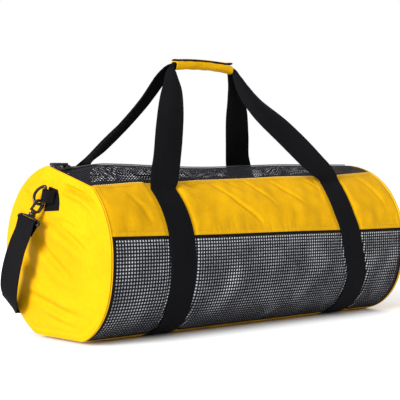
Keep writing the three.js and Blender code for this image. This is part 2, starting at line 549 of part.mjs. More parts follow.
// the left end's surface over a point, or the right end's seen in a mirror
const capX = (side, y, z) => {
  const turn = Math.atan2(z - RADIUS, -y) / rad, p = rimPoint(side, turn, 0.2);
  return capShape(-1, Math.hypot(y, z - RADIUS) / Math.hypot(p.y, p.z - RADIUS));
};
function dRing() {
  const pts = RING.map((p) => V(ringX(p.y), p.y, p.z));
  const normal = V(1, RING_PLANE.slope, 0).normalize();
  return loft(pts.map((p, i) => {
    const t = pts[(i + 1) % pts.length].clone().sub(pts[(i + pts.length - 1) % pts.length]).normalize();
    const side = t.clone().cross(normal).normalize();
    return Array.from({ length: 6 }, (_, k) => {
      const a = k / 6 * 2 * Math.PI;
      return p.clone().addScaledVector(side, RING_WIRE * Math.cos(a)).addScaledVector(normal, RING_WIRE * Math.sin(a));
    });
  }), true);
}
both('d_ring', dRing(), METAL, 0.35, 0.8);

// the patch that backs the ring tab, following the end's dome
function patch(side) {
  const corner = { nearTop: V(0, 7.5, 240.5), nearLow: V(0, 15.5, 202), farTop: V(0, -13, 236), farLow: V(0, -21, 204) };
  const grid = (out) => [0, 0.5, 1].map((a) => [0, 0.5, 1].map((b) => {
    const p = corner.nearTop.clone().lerp(corner.nearLow, b).lerp(corner.farTop.clone().lerp(corner.farLow, b), a);
    p.y -= 3 * a * 4 * b * (1 - b);
    p.x = capX(side, p.y, p.z) - out;
    return p;
  }));
  return sheet(grid(0.45 + 1.5), grid(0.45));
}
add('ring_patch_left', patch(-1), BLACK, 0.85);
add('ring_patch_right', mirrorX(patch(1)), BLACK, 0.85);

// a band wrapped round a bar: from its sewn end, round the bar and back
function wrapPath(bar, axis, outward, along, reach, spread, steps = 6) {
  const list = [], r = spread;
  for (let i = 0; i <= steps; i++) {
    const a = Math.PI / 2 - Math.PI * i / steps;
    list.push(bar.clone().addScaledVector(outward, r * Math.sin(a)).addScaledVector(along, r * Math.cos(a)));
  }
  return list;
}
const strip = (points, across, wide, thick) => ribbon(points.map((p, i) => ({
  x: p.x, y: p.y, z: p.z, wide, thick, wx: across.x, wy: across.y, wz: across.z,
})));
function ringTab(side) {
  const a = V(ringX(0.8), 0.8, 237.2), b = V(ringX(5.4), 5.4, 217.2), axis = a.clone().sub(b).normalize();
  const middle = a.clone().add(b).multiplyScalar(0.5);
  const out = V(-1, 0, 0), along = axis.clone().cross(out).normalize();
  if (along.y < 0) along.multiplyScalar(-1);
  const turnRound = wrapPath(middle, axis, out, along, 0, RING_WIRE + GAP + 0.85);
  const end = middle.clone().addScaledVector(along, -16);
  const low = end.clone(); low.x = capX(side, end.y, end.z) - 0.45 - 1.5 - 0.9 - 0.85;
  const high = low.clone(); high.x -= 2.1;
  const midLow = middle.clone().addScaledVector(along, -8); midLow.x = Math.min(capX(side, midLow.y, midLow.z) - 3.6, midLow.x + 1.6);
  const midHigh = midLow.clone(); midHigh.x -= 4.2;
  return strip([high, midHigh, ...turnRound, midLow, low], axis, 19.6, 1.5);
}
add('ring_tab_left', ringTab(-1), BLACK, 0.85);
add('ring_tab_right', mirrorX(ringTab(1)), BLACK, 0.85);

// the hook's body: an eye open on its outer side, closed there by the gate, and a stem below
function hookOutline() {
  const pts = [], arc = (cx, cy, r, from, to, n) => {
    for (let i = 0; i <= n; i++) {
      const a = (from + (to - from) * i / n) * rad;
      pts.push([cx + r * Math.cos(a), cy + r * Math.sin(a)]);
    }
  };
  const h = HOOK;
  // outer side of the claw's tip, over the top and down the inner side
  arc(0, h.arc, h.half, 184, 360, 8);
  pts.push([h.half, h.slotEnd], [h.neck + 1.5, h.end], [h.neck, h.neckEnd], [-h.neck, h.neckEnd], [-h.neck - 1.5, h.end], [-h.half, h.end]);
  pts.push([-h.half, GATE.to + 0.4], [-h.slot, GATE.to + 0.4], [-h.slot + 1, h.slotEnd + 1], [h.slot - 1.5, h.slotEnd + 1], [h.slot, h.slotEnd - 1.5]);
  arc(0, h.arc, h.slot, 360, 184, 8);
  return pts;
}
both('snap_hook', place(extrude(hookOutline(), HOOK.thick), cross, N, U), METAL, 0.35, 0.8);
// its foot is cut off at the corners so that it clears the hook as it turns
const gateOutline = [[-GATE.wide / 2, GATE.from], [GATE.wide / 2, GATE.from], [GATE.wide / 2, GATE.to - 1.25], [0.9, GATE.to - 0.35],
  [-0.9, GATE.to - 0.35], [-GATE.wide / 2, GATE.to - 1.25]]
  .map(([a, b]) => [a - (HOOK.half + HOOK.slot) / 2, b + 0.35]);
both('snap_gate', place(extrude(gateOutline, 4.4), cross, N, U), METAL, 0.35, 0.8);

// the strap loop, turned a little on the hook's stem
const swivel = -LOOP_SWIVEL * rad;
const across = Y.clone().multiplyScalar(Math.cos(swivel)).addScaledVector(N, Math.sin(swivel));
{
  const l = LOOP, outer = [[-l.collar, l.from], [l.collar, l.from], [l.collar + 1, l.collarEnd], [l.half - 3, l.shoulder - 2],
    [l.half, l.shoulder + 1], [l.half, l.barTop + l.bar - 2], [l.half - 2, l.barTop + l.bar], [-l.half + 2, l.barTop + l.bar],
    [-l.half, l.barTop + l.bar - 2], [-l.half, l.shoulder + 1], [-l.half + 3, l.shoulder - 2], [-l.collar - 1, l.collarEnd]];
  const hole = [[-l.hole, l.barTop], [l.hole, l.barTop], [l.hole, l.shoulder + 0.6], [l.hole - 2, l.shoulder - 1.6 + 0.6], [-l.hole + 2, l.shoulder - 1.6 + 0.6], [-l.hole, l.shoulder + 0.6]];
  both('swivel_loop', place(extrude(outer, l.thick, [hole]), cross, across, U), METAL, 0.35, 0.8);
}

// ---------------------------------------------------------------- the shoulder strap, one length
{
  const bar = cross.clone().addScaledVector(U, LOOP.barTop + LOOP.bar / 2);
  const face = U.clone().cross(across).normalize();
  if (face.x > 0) face.multiplyScalar(-1);
  const r = Math.hypot(LOOP.bar, LOOP.thick) / 2 + GAP + WEB / 2 + 0.35, list = [];
  const row = (p, w) => ({ x: p.x, y: p.y, z: p.z, wide: STRAP_WIDTH, thick: WEB, wx: w.x, wy: w.y, wz: w.z });
  // the tail lies inside, goes up round the bar and comes down outside
  const first = STRAP[0], outer0 = V(first.x, first.y, first.z);
  list.push(row(outer0.clone().add(V(2.6, 0.5, 0)), across));
  for (let i = 0; i <= 6; i++) {
    const a = lean + Math.PI * i / 6;
    const p = bar.clone().addScaledVector(face, -r * Math.cos(a)).addScaledVector(U, -r * Math.sin(a));
    list.push(row(p, across));
  }
  STRAP.forEach((s, i) => list.push(row(V(s.x, s.y, s.z), V(i ? 0 : across.x * 0.8, s.wy, s.wz))));
  const right = [...list].reverse().map((q) => ({ ...q, x: -q.x, wx: -q.wx }));
  const full = [...list, ...right].map((q, i) => (i < list.length ? q : { ...q, wx: q.wx, wy: q.wy, wz: q.wz }));
  add('shoulder_strap', ribbon(full), BLACK, 0.85);
}

export default bag;
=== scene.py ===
"""Mesh dive gear bag: the visual model, in the CAD frame, in metres."""
import math

import bpy
import numpy as np
from mathutils import Matrix, Vector


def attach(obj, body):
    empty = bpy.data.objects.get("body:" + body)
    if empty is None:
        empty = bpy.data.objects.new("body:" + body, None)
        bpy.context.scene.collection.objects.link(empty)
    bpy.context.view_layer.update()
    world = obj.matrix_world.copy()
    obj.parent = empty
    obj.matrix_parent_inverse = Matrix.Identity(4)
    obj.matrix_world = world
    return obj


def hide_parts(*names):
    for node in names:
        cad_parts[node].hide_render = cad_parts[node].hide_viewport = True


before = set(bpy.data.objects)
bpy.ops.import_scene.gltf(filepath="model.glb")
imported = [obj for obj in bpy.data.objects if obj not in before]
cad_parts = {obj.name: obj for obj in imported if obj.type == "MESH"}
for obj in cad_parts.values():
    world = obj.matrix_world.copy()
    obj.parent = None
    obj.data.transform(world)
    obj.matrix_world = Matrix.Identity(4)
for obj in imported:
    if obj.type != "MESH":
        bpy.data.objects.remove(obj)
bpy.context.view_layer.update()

MM = 0.001
RAD = math.pi / 180

# ------------------------------------------------------------------ sizes, as in the CAD, in millimetres
RADIUS, HALF = 137.5, 347.5
BASE_DEPTH, BASE_POWER = 142.0, 2.5
CLOTH, MESH, LINER, WEB = 1.6, 1.2, 1.0, 1.8
WEB_WIDTH, STRAP_WIDTH = 52.0, 38.0
GAP, PINCH, PINCH_EASE = 0.35, 2.15, 9.0
CAP_BULGE, CAP_POWER, CAP_EDGE, BODY_EDGE = 12.0, 2.6, 2.4, 2.8
BINDING, BASE_SEAM, FLAT_EDGE, TAPE_HALF = 4.0, -61.0, -70.2, 6.5
END = HALF - BODY_EDGE
ARC = RADIUS * RAD                      # millimetres round the bag for one degree

SEAM_X = [-347.5, -164.0, -120.0, -44.0, 70.0, 170.0, 241.0, 347.5]
SEAM_TOP = [52.0, 54.0, 56.2, 57.9, 59.4, 58.9, 60.5, 65.0]
SEAM_LOW = [11.8, 10.3, 10.0, 9.8, 9.4, 8.7, 8.2, 8.0]
WEB_TURN = [-240, -205, -180, -155, -125, -90, -55, -40, -25, -9, 5, 22, 33, 43, 52, 60]
WEB_LEFT = [-243, -229, -216, -206, -196, -191, -192, -200, -203, -205, -206, -208, -209, -210, -211, -211]
WEB_RIGHT = [144, 168, 188, 205, 222, 232, 230, 224, 222, 207, 199, 190, 190, 193, 199, 205]


def smooth(f):
    c = np.clip(f, 0, 1)
    return c * c * (3 - 2 * c)


def seam_top(x):
    return np.interp(x, SEAM_X, SEAM_TOP)


def seam_low(x):
    return np.interp(x, SEAM_X, SEAM_LOW)


def web_line(turn, side):
    return np.interp(turn, WEB_TURN, WEB_LEFT if side == "left" else WEB_RIGHT)


def radius(x, turn):
    c, s = np.cos(turn * RAD), np.sin(turn * RAD)
    left = 1 - smooth((x + HALF) / 75)
    n = BASE_POWER - np.where(c < 0, (BASE_POWER - 2.08) * left, 0)
    low = ((np.abs(c) / RADIUS) ** n + (np.abs(s) / BASE_DEPTH) ** n) ** (-1 / n)
    low = np.minimum(low, (RADIUS - 5.5 * left) / np.maximum(np.abs(s), 1e-6))
    r = np.where(s < 0, low, RADIUS)
    off = ((turn - 74 + 540) % 360) - 180
    chord = RADIUS * math.cos(26 * RAD) / np.cos(np.clip(off, -26, 26) * RAD)
    r = r - np.where(np.abs(off) < 26, (RADIUS - chord) * (1 - smooth((x + HALF) / 95)), 0)
    f = np.clip((x + 270) / 450, 0, 1)
    return r - np.where(s > 0, 5 * np.sin(f * math.pi) ** 2 * s * s, 0)


def web_away(x, turn):
    """Millimetres from the nearer webbing's edge, along X."""
    a = np.abs(x - web_line(turn, "left")) - WEB_WIDTH / 2
    b = np.abs(x - web_line(turn, "right")) - WEB_WIDTH / 2
    return np.minimum(a, b)


def pinch(x, turn):
    p = PINCH * (1 - smooth((web_away(x, turn) - 1.5) / PINCH_EASE))
    return np.where((turn > 62) | (turn < -242), 0, p)


def raw(x, turn):
    x, turn = np.broadcast_arrays(np.asarray(x, float), np.asarray(turn, float))
    s, p = np.sin(turn * RAD), pinch(x, turn)
    r = radius(x, turn) - p
    flat = (RADIUS - p * np.minimum(1, (-s - 0.5) * 4)) / np.maximum(np.abs(s), 1e-6)
    r = np.where(s < 0, np.minimum(r, flat), r)
    return np.stack([x, -r * np.cos(turn * RAD), RADIUS + r * s], -1)


def normals(x, turn):
    d = np.cross(raw(x + 0.8, turn) - raw(x - 0.8, turn), raw(x, turn + 0.6) - raw(x, turn - 0.6))
    return d / np.linalg.norm(d, axis=-1, keepdims=True)


def surface(x, turn, out=0.0):
    x, turn = np.broadcast_arrays(np.asarray(x, float), np.asarray(turn, float))
    return raw(x, turn) + normals(x, turn) * np.broadcast_to(out, x.shape)[..., None]


def over(turn):
    """The same height on the back."""
    return np.where(180 - turn > 90, -180 - turn, 180 - turn)


def rim_point(side, turn, inward=0.0):
    turn = np.asarray(turn, float)
    x = np.full(turn.shape, side * HALF)
    r, s = radius(x, turn) - inward, np.sin(turn * RAD)
    low = np.minimum(r, (RADIUS - np.maximum(0, inward)) / np.maximum(np.abs(s), 1e-6))
    r = np.where(s < 0, low, r)
    return np.stack([x, -r * np.cos(turn * RAD), RADIUS + r * s], -1)


def cap_height(f):
    return HALF + CAP_EDGE + CAP_BULGE * (1 - np.minimum(1, f) ** CAP_POWER)


# ------------------------------------------------------------------ soft waves and creases
def waves(a, b, seed, size, count=14):
    """A smooth random field from -1 to 1 over two lengths in millimetres."""
    rng = np.random.default_rng(seed)
    total = np.zeros(np.broadcast(a, b).shape)
    for _ in range(count):
        t, k, ph = rng.uniform(0, 2 * math.pi), 2 * math.pi / (size * rng.uniform(0.7, 1.7)), rng.uniform(0, 6.28)
        total += np.sin(k * (a * math.cos(t) + b * math.sin(t)) + ph)
    return total / math.sqrt(count) / 1.6


def crease(a, b, line, depth, width, lip=0.7, side=1):
    """A valley along a line with a soft ridge on one side of it, fading at both ends."""
    p = np.array(line, float)
    seg = np.linalg.norm(np.diff(p, axis=0), axis=1)
    total, best, along, sign = seg.sum(), np.full(a.shape, 1e9), np.zeros(a.shape), np.zeros(a.shape)
    start = 0.0
    for i in range(len(p) - 1):
        d = (p[i + 1] - p[i]) / seg[i]
        t = np.clip((a - p[i][0]) * d[0] + (b - p[i][1]) * d[1], 0, seg[i])
        ea, eb = a - (p[i][0] + t * d[0]), b - (p[i][1] + t * d[1])
        dist = np.hypot(ea, eb)
        s = np.sign(ea * -d[1] + eb * d[0])
        near = dist < best
        best, along, sign = np.where(near, dist, best), np.where(near, start + t, along), np.where(near, s, sign)
        start += seg[i]
    signed = best * sign * side
    taper = np.sin(np.clip(along / total, 0.02, 0.98) * math.pi) ** 0.7
    valley = np.exp(-((signed / width) ** 2))
    ridge = np.exp(-(((signed - 1.9 * width) / (1.7 * width)) ** 2))
    return depth * taper * (lip * ridge - valley)


# ------------------------------------------------------------------ meshes
def make(name, verts, faces, uv=None, angle=38, attr=None):
    verts = np.asarray(verts, float)
    me = bpy.data.meshes.new(name)
    me.from_pydata((verts * MM).tolist(), [], [list(map(int, f)) for f in faces])
    me.update()
    if uv is not None:
        layer = me.uv_layers.new(name="weave")
        index = np.zeros(len(me.loops), np.int32)
        me.loops.foreach_get("vertex_index", index)
        layer.data.foreach_set("uv", np.asarray(uv, np.float32)[index].ravel())
    if attr is not None:
        layer = me.attributes.new("fold", "FLOAT", "POINT")
        layer.data.foreach_set("value", np.asarray(attr, np.float32))
    me.polygons.foreach_set("use_smooth", np.ones(len(me.polygons), bool))
    if angle:
        me.set_sharp_from_angle(angle=angle * RAD)
    ob = bpy.data.objects.new(name, me)
    bpy.context.scene.collection.objects.link(ob)
    return ob


def outward(verts, faces):
    """Turns a closed body's faces so that they look out."""
    f = np.asarray([q[:3] for q in faces])
    a, b, c = verts[f[:, 0]], verts[f[:, 1]], verts[f[:, 2]]
    quads = [i for i, q in enumerate(faces) if len(q) == 4]
    total = np.einsum("ij,ij->i", a, np.cross(b, c)).sum()
    if quads:
        g = np.asarray([faces[i] for i in quads])
        total += np.einsum("ij,ij->i", verts[g[:, 0]], np.cross(verts[g[:, 2]], verts[g[:, 3]])).sum()
    return faces if total > 0 else [tuple(reversed(q)) for q in faces]


def shell(outer, inner, wrap_i=False, wrap_j=False):
    """The closed sheet between two grids of points."""
    n, m = outer.shape[:2]
    verts = np.concatenate([outer.reshape(-1, 3), inner.reshape(-1, 3)])
    o = np.arange(n * m).reshape(n, m)
    q = o + n * m
    if wrap_i:
        o, q = np.vstack([o, o[:1]]), np.vstack([q, q[:1]])
    if wrap_j:
        o, q = np.hstack([o, o[:, :1]]), np.hstack([q, q[:, :1]])
    faces = [np.stack([o[:-1, :-1], o[1:, :-1], o[1:, 1:], o[:-1, 1:]], -1).reshape(-1, 4),
             np.stack([q[:-1, :-1], q[:-1, 1:], q[1:, 1:], q[1:, :-1]], -1).reshape(-1, 4)]
    if not wrap_i:
        faces.append(np.stack([o[0, :-1], o[0, 1:], q[0, 1:], q[0, :-1]], -1))
        faces.append(np.stack([o[-1, 1:], o[-1, :-1], q[-1, :-1], q[-1, 1:]], -1))
    if not wrap_j:
        faces.append(np.stack([o[1:, 0], o[:-1, 0], q[:-1, 0], q[1:, 0]], -1))
        faces.append(np.stack([o[:-1, -1], o[1:, -1], q[1:, -1], q[:-1, -1]], -1))
    faces = [tuple(f) for f in np.concatenate(faces).tolist()]
    return verts, outward(verts, faces)


def tube(rings, closed=False):
    """A solid through rings (n, m, 3), capped unless it closes on itself."""
    n, m = rings.shape[:2]
    verts = rings.reshape(-1, 3)
    ids = np.arange(n * m).reshape(n, m)
    ids = np.hstack([ids, ids[:, :1]])
    if closed:
        ids = np.vstack([ids, ids[:1]])
    faces = np.stack([ids[:-1, :-1], ids[1:, :-1], ids[1:, 1:], ids[:-1, 1:]], -1).reshape(-1, 4)
    faces = [tuple(f) for f in faces.tolist()]
    if not closed:
        faces += [tuple(reversed(range(m))), tuple(range((n - 1) * m, n * m))]
    return verts, outward(verts, faces)


def joined(parts):
    """Several (verts, faces) bodies as one."""
    verts, faces, start = [], [], 0
    for v, f in parts:
        verts.append(v)
        faces += [tuple(i + start for i in q) for q in f]
        start += len(v)
    return np.concatenate(verts), faces


def solid(parts):
    return joined([(v, outward(v, f)) for v, f in parts])


def mirrored(v, f):
    return v * np.array([-1.0, 1, 1]), [tuple(reversed(q)) for q in f]


# ------------------------------------------------------------------ materials
def principled(name):
    mat = bpy.data.materials.new(name)
    mat.use_nodes = True
    nt = mat.node_tree
    nt.nodes.clear()
    out = nt.nodes.new("ShaderNodeOutputMaterial")
    bsdf = nt.nodes.new("ShaderNodeBsdfPrincipled")
    nt.links.new(bsdf.outputs[0], out.inputs[0])
    return mat, nt, bsdf


def node(nt, kind, **values):
    n = nt.nodes.new(kind)
    for k, v in values.items():
        if k in n.inputs:
            n.inputs[k].default_value = v
        else:
            setattr(n, k, v)
    return n


def ramp(nt, source, stops):
    r = nt.nodes.new("ShaderNodeValToRGB")
    while len(r.color_ramp.elements) < len(stops):
        r.color_ramp.elements.new(0.5)
    for e, (at, colour) in zip(r.color_ramp.elements, stops):
        e.position, e.color = at, (*colour, 1)
    nt.links.new(source, r.inputs[0])
    return r.outputs[0]


def maths(nt, op, a, b=None):
    n = nt.nodes.new("ShaderNodeMath")
    n.operation = op
    for i, v in enumerate([a, b]):
        if v is None:
            continue
        if isinstance(v, (int, float)):
            n.inputs[i].default_value = v
        else:
            nt.links.new(v, n.inputs[i])
    return n.outputs[0]


def weave_height(nt, pitch_u, pitch_v, lean=0.0):
    """A plain weave from the piece's own millimetre coordinates."""
    uv = nt.nodes.new("ShaderNodeUVMap")
    uv.uv_map = "weave"
    sep = nt.nodes.new("ShaderNodeSeparateXYZ")
    nt.links.new(uv.outputs[0], sep.inputs[0])
    u, v = sep.outputs[0], sep.outputs[1]
    if lean:
        v = maths(nt, "ADD", v, maths(nt, "MULTIPLY", maths(nt, "PINGPONG", u, 6.5), lean))
    a = maths(nt, "SINE", maths(nt, "MULTIPLY", u, 2 * math.pi / pitch_u))
    b = maths(nt, "SINE", maths(nt, "MULTIPLY", v, 2 * math.pi / pitch_v))
    return maths(nt, "MULTIPLY", a, b) if not lean else maths(nt, "ADD", maths(nt, "MULTIPLY", a, 0.35), b), uv


def bumped(nt, bsdf, parts):
    last = None
    for height, strength, distance in parts:
        b = nt.nodes.new("ShaderNodeBump")
        b.inputs["Strength"].default_value = strength
        b.inputs["Distance"].default_value = distance
        nt.links.new(height, b.inputs["Height"])
        if last is not None:
            nt.links.new(last, b.inputs["Normal"])
        last = b.outputs[0]
    nt.links.new(last, bsdf.inputs["Normal"])


def object_noise(nt, scale, detail=3.0, rough=0.55):
    tc = nt.nodes.new("ShaderNodeTexCoord")
    n = node(nt, "ShaderNodeTexNoise", Scale=scale, Detail=detail, Roughness=rough)
    nt.links.new(tc.outputs["Object"], n.inputs["Vector"])
    return n.outputs[0]


def fabric(name, dark, mid, light, rough=0.62, specular=0.035, sheen=0.0):
    mat, nt, bsdf = principled(name)
    broad, fine = object_noise(nt, 9.0, 4.0), object_noise(nt, 170.0, 3.0, 0.6)
    tone = ramp(nt, broad, [(0.3, dark), (0.5, mid), (0.72, light)])
    mix = node(nt, "ShaderNodeMix", data_type="RGBA", blend_type="MULTIPLY")
    mix.inputs[0].default_value = 1.0
    nt.links.new(tone, mix.inputs[6])
    nt.links.new(ramp(nt, fine, [(0.25, (0.90, 0.89, 0.86)), (0.7, (1, 1, 1))]), mix.inputs[7])
    nt.links.new(mix.outputs[2], bsdf.inputs["Base Color"])
    nt.links.new(ramp(nt, fine, [(0.3, (rough - 0.06,) * 3), (0.7, (rough + 0.08,) * 3)]), bsdf.inputs["Roughness"])
    bsdf.inputs["Specular IOR Level"].default_value = specular
    bsdf.inputs["Sheen Weight"].default_value = sheen
    height, _ = weave_height(nt, 1.3, 1.3)
    bumped(nt, bsdf, [(broad, 0.25, 0.004), (fine, 0.22, 0.0012), (height, 0.16, 0.0002)])
    return mat


def webbing_material(name, colour, light):
    mat, nt, bsdf = principled(name)
    height, uv = weave_height(nt, 2.6, 1.9, lean=1.0)
    fine, broad = object_noise(nt, 420.0, 2.0), object_noise(nt, 14.0, 3.0)
    mix = node(nt, "ShaderNodeMix", data_type="RGBA", blend_type="MIX")
    mix.inputs[6].default_value, mix.inputs[7].default_value = (*colour, 1), (*light, 1)
    level = maths(nt, "ADD", maths(nt, "MULTIPLY", height, 0.22), maths(nt, "ADD", maths(nt, "MULTIPLY", fine, 0.45), maths(nt, "MULTIPLY", broad, 0.5)))
    level = nt_clamp(nt, level)
    nt.links.new(level, mix.inputs[0])
    nt.links.new(mix.outputs[2], bsdf.inputs["Base Color"])
    nt.links.new(ramp(nt, fine, [(0.3, (0.6,) * 3), (0.7, (0.78,) * 3)]), bsdf.inputs["Roughness"])
    bsdf.inputs["Specular IOR Level"].default_value = 0.02
    bumped(nt, bsdf, [(broad, 0.2, 0.003), (height, 0.2, 0.0003), (fine, 0.1, 0.0003)])
    return mat


def nt_clamp(nt, value):
    n = nt.nodes.new("ShaderNodeClamp")
    nt.links.new(value, n.inputs[0])
    return n.outputs[0]


def plain(name, colour, light, rough, metal=0.0, specular=0.5, scale=300.0, bump=0.15, depth=0.0003):
    mat, nt, bsdf = principled(name)
    fine, broad = object_noise(nt, scale, 3.0), object_noise(nt, 40.0, 3.0)
    mix = node(nt, "ShaderNodeMix", data_type="RGBA", blend_type="MIX")
    mix.inputs[6].default_value, mix.inputs[7].default_value = (*colour, 1), (*light, 1)
    nt.links.new(nt_clamp(nt, maths(nt, "ADD", maths(nt, "MULTIPLY", fine, 0.6), maths(nt, "MULTIPLY", broad, 0.4))), mix.inputs[0])
    nt.links.new(mix.outputs[2], bsdf.inputs["Base Color"])
    nt.links.new(ramp(nt, fine, [(0.3, (max(0.04, rough - 0.05),) * 3), (0.75, (rough + 0.07,) * 3)]), bsdf.inputs["Roughness"])
    bsdf.inputs["Metallic"].default_value = metal
    bsdf.inputs["Specular IOR Level"].default_value = specular
    bumped(nt, bsdf, [(fine, bump, depth)])
    return mat


YELLOW = fabric("yellow_fabric", (0.47, 0.243, 0.0015), (0.52, 0.275, 0.0019), (0.575, 0.310, 0.0023))
# the piping's yellow is lighter and paler than the body fabric: a painted highlight for the seam edge that catches the
# light from the left
PIPING_PAINTED_HIGHLIGHT = fabric("yellow_piping_painted_highlight", (0.56, 0.31, 0.006), (0.62, 0.35, 0.008), (0.68, 0.40, 0.012))
THREAD = plain("yellow_thread", (0.42, 0.20, 0.004), (0.62, 0.36, 0.02), 0.6, scale=900.0)
PALE_THREAD = plain("pale_thread", (0.62, 0.50, 0.22), (0.85, 0.76, 0.5), 0.6, scale=900.0)
DARK_THREAD = plain("dark_thread", (0.003, 0.003, 0.0035), (0.010, 0.010, 0.012), 0.75, scale=900.0, specular=0.03)
NET = plain("net", (0.003, 0.0034, 0.0055), (0.012, 0.013, 0.019), 0.6, scale=1400.0, specular=0.08, bump=0.5, depth=0.0004)
LINER_MAT = plain("liner", (0.58, 0.59, 0.61), (0.72, 0.73, 0.75), 0.8, scale=220.0, specular=0.2)
BIND = plain("binding", (0.0025, 0.0025, 0.003), (0.007, 0.007, 0.008), 0.75, scale=700.0, specular=0.05, bump=0.4)
WEBBING = webbing_material("webbing", (0.0016, 0.0016, 0.002), (0.0078, 0.0078, 0.0092))
TAPE = plain("zipper_tape", (0.004, 0.004, 0.005), (0.012, 0.012, 0.014), 0.7, scale=900.0, specular=0.08, bump=0.4)
COIL = plain("zipper_coil", (0.012, 0.012, 0.014), (0.03, 0.03, 0.034), 0.42, scale=500.0)
PULL = plain("zipper_pull", (0.004, 0.004, 0.005), (0.012, 0.012, 0.014), 0.5, scale=260.0, bump=0.1, specular=0.25)
METAL = plain("black_metal", (0.020, 0.019, 0.018), (0.055, 0.052, 0.049), 0.26, metal=1.0, scale=160.0, bump=0.05)


def piece(ob, mat, body, slot, *nodes):
    ob.data.materials.clear()
    ob.data.materials.append(mat)
    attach(ob, body)
    if nodes:
        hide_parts(*nodes)
    return ob


def place_solid(name, body, mat, slot, nodes=(), uv=None, angle=38, ride="root", attr=None):
    return piece(make(name, body[0], body[1], uv, angle, attr), mat, ride, slot, *nodes)


# ------------------------------------------------------------------ fabric panels
BAND_CREASES = [   # x, degrees round the bag; depth and width in millimetres
    {"line": [(-97, 52), (-82, 44), (-66, 35.6), (-32, 23.4), (-18, 16)], "depth": 2.3, "width": 4.2, "side": 1},
    {"line": [(-22, 57), (0, 45.1), (18, 36.6), (27, 30)], "depth": 1.6, "width": 4.0, "side": 1},
    {"line": [(38, 57), (64, 44.7), (84, 36.9), (99, 30)], "depth": 1.7, "width": 4.0, "side": 1},
    {"line": [(120, 58), (133, 54), (147, 47.3), (168, 38)], "depth": 1.2, "width": 3.4, "side": 1},
    {"line": [(-180, 57), (-160, 53), (-142, 50), (-120, 50)], "depth": 3.4, "width": 6.5, "side": -1},
    {"line": [(-60, 56), (-48, 50), (-30, 44)], "depth": 1.0, "width": 4.0, "side": 1},
    {"line": [(276, 61), (298, 42), (314, 24)], "depth": 0.9, "width": 6.0, "side": 1},
    {"line": [(-290, 44), (-270, 30), (-262, 18)], "depth": 1.0, "width": 7.0, "side": 1},
]
BACK_CREASES = [
    {"line": [(90, 53), (60, 38), (24, 24)], "depth": 2.0, "width": 4.4, "side": -1},
    {"line": [(20, 56), (-4, 44), (-26, 34)], "depth": 1.6, "width": 4.0, "side": -1},
    {"line": [(-60, 57), (-82, 45), (-104, 33)], "depth": 1.7, "width": 4.0, "side": -1},
    {"line": [(-160, 56), (-176, 46), (-190, 36)], "depth": 1.2, "width": 3.6, "side": -1},
    {"line": [(240, 54), (262, 38), (280, 22)], "depth": 1.2, "width": 6.0, "side": 1},
]


def band(back):
    x = np.linspace(-END, END, 272)
    f = np.linspace(0, 1, 41)
    top, low = seam_top(x) - 0.075, seam_low(x) + (BINDING / 2 + GAP) / ARC
    turn = top[:, None] + (low - top)[:, None] * f[None, :]
    xx = np.broadcast_to(x[:, None], turn.shape)
    real = over(turn) if back else turn
    s = turn * ARC
    free = smooth((web_away(xx, real) - 3) / 16) * smooth((END - np.abs(xx)) / 14)
    edge_top, edge_low = (top[:, None] - turn) * ARC, (turn - low[:, None]) * ARC
    inner = smooth(edge_top / 12) * smooth(edge_low / 12)
    h = 1.7 * waves(xx, s, 11 + back, 90) * inner + 0.8 * waves(xx, s, 21 + back, 34) * inner
    for c in BACK_CREASES if back else BAND_CREASES:
        h = h + crease(xx, s, [(a, b * ARC) for a, b in c["line"]], c["depth"] * 1.7, c["width"] * 0.7, 0.06, c["side"]) \
            * smooth(edge_top / 5) * smooth(edge_low / 7)
    # short puckers where the band is gathered into its lower seam
    rng = np.random.default_rng(5 + back)
    for k in range(64):
        at = -335 + 670 * (k + rng.uniform(0.1, 0.9)) / 64
        amount = rng.uniform(0.15, 1.0) * (1.0 if -165 < at < 60 else 0.45)
        reach = rng.uniform(10, 26)
        lean = rng.uniform(-0.25, 0.25)
        h = h - 0.85 * amount * np.exp(-(((xx - at - lean * edge_low) / 2.6) ** 2)) * np.exp(-((edge_low / reach) ** 2)) * smooth(edge_low / 4)
    h = h * free
    # the folded hems along both seams
    hem = 0.55 * (1 - smooth((edge_top - 6.5) / 2.0)) + 0.7 * np.exp(-(((edge_low - 2.4) / 2.2) ** 2)) - 0.45 * np.exp(-(((edge_low - 8.2) / 1.5) ** 2)) \
        - 0.35 * np.exp(-(((edge_top - 8.4) / 1.3) ** 2))
    h = h + hem * smooth((web_away(xx, real) - 1) / 5)
    h = h - 1.1 * np.exp(-(((END - np.abs(xx)) / 3.0) ** 2))
    h = np.minimum(h, 3.0)
    outer, inner_grid = surface(xx, real, h), surface(xx, real, h - CLOTH)
    uv = np.concatenate([np.stack([xx, s], -1).reshape(-1, 2)] * 2)
    name = "band_" + ("back" if back else "front")
    ob = place_solid(name + "_cloth", shell(outer, inner_grid), YELLOW, "yellow_fabric", [name], uv)
    return ob


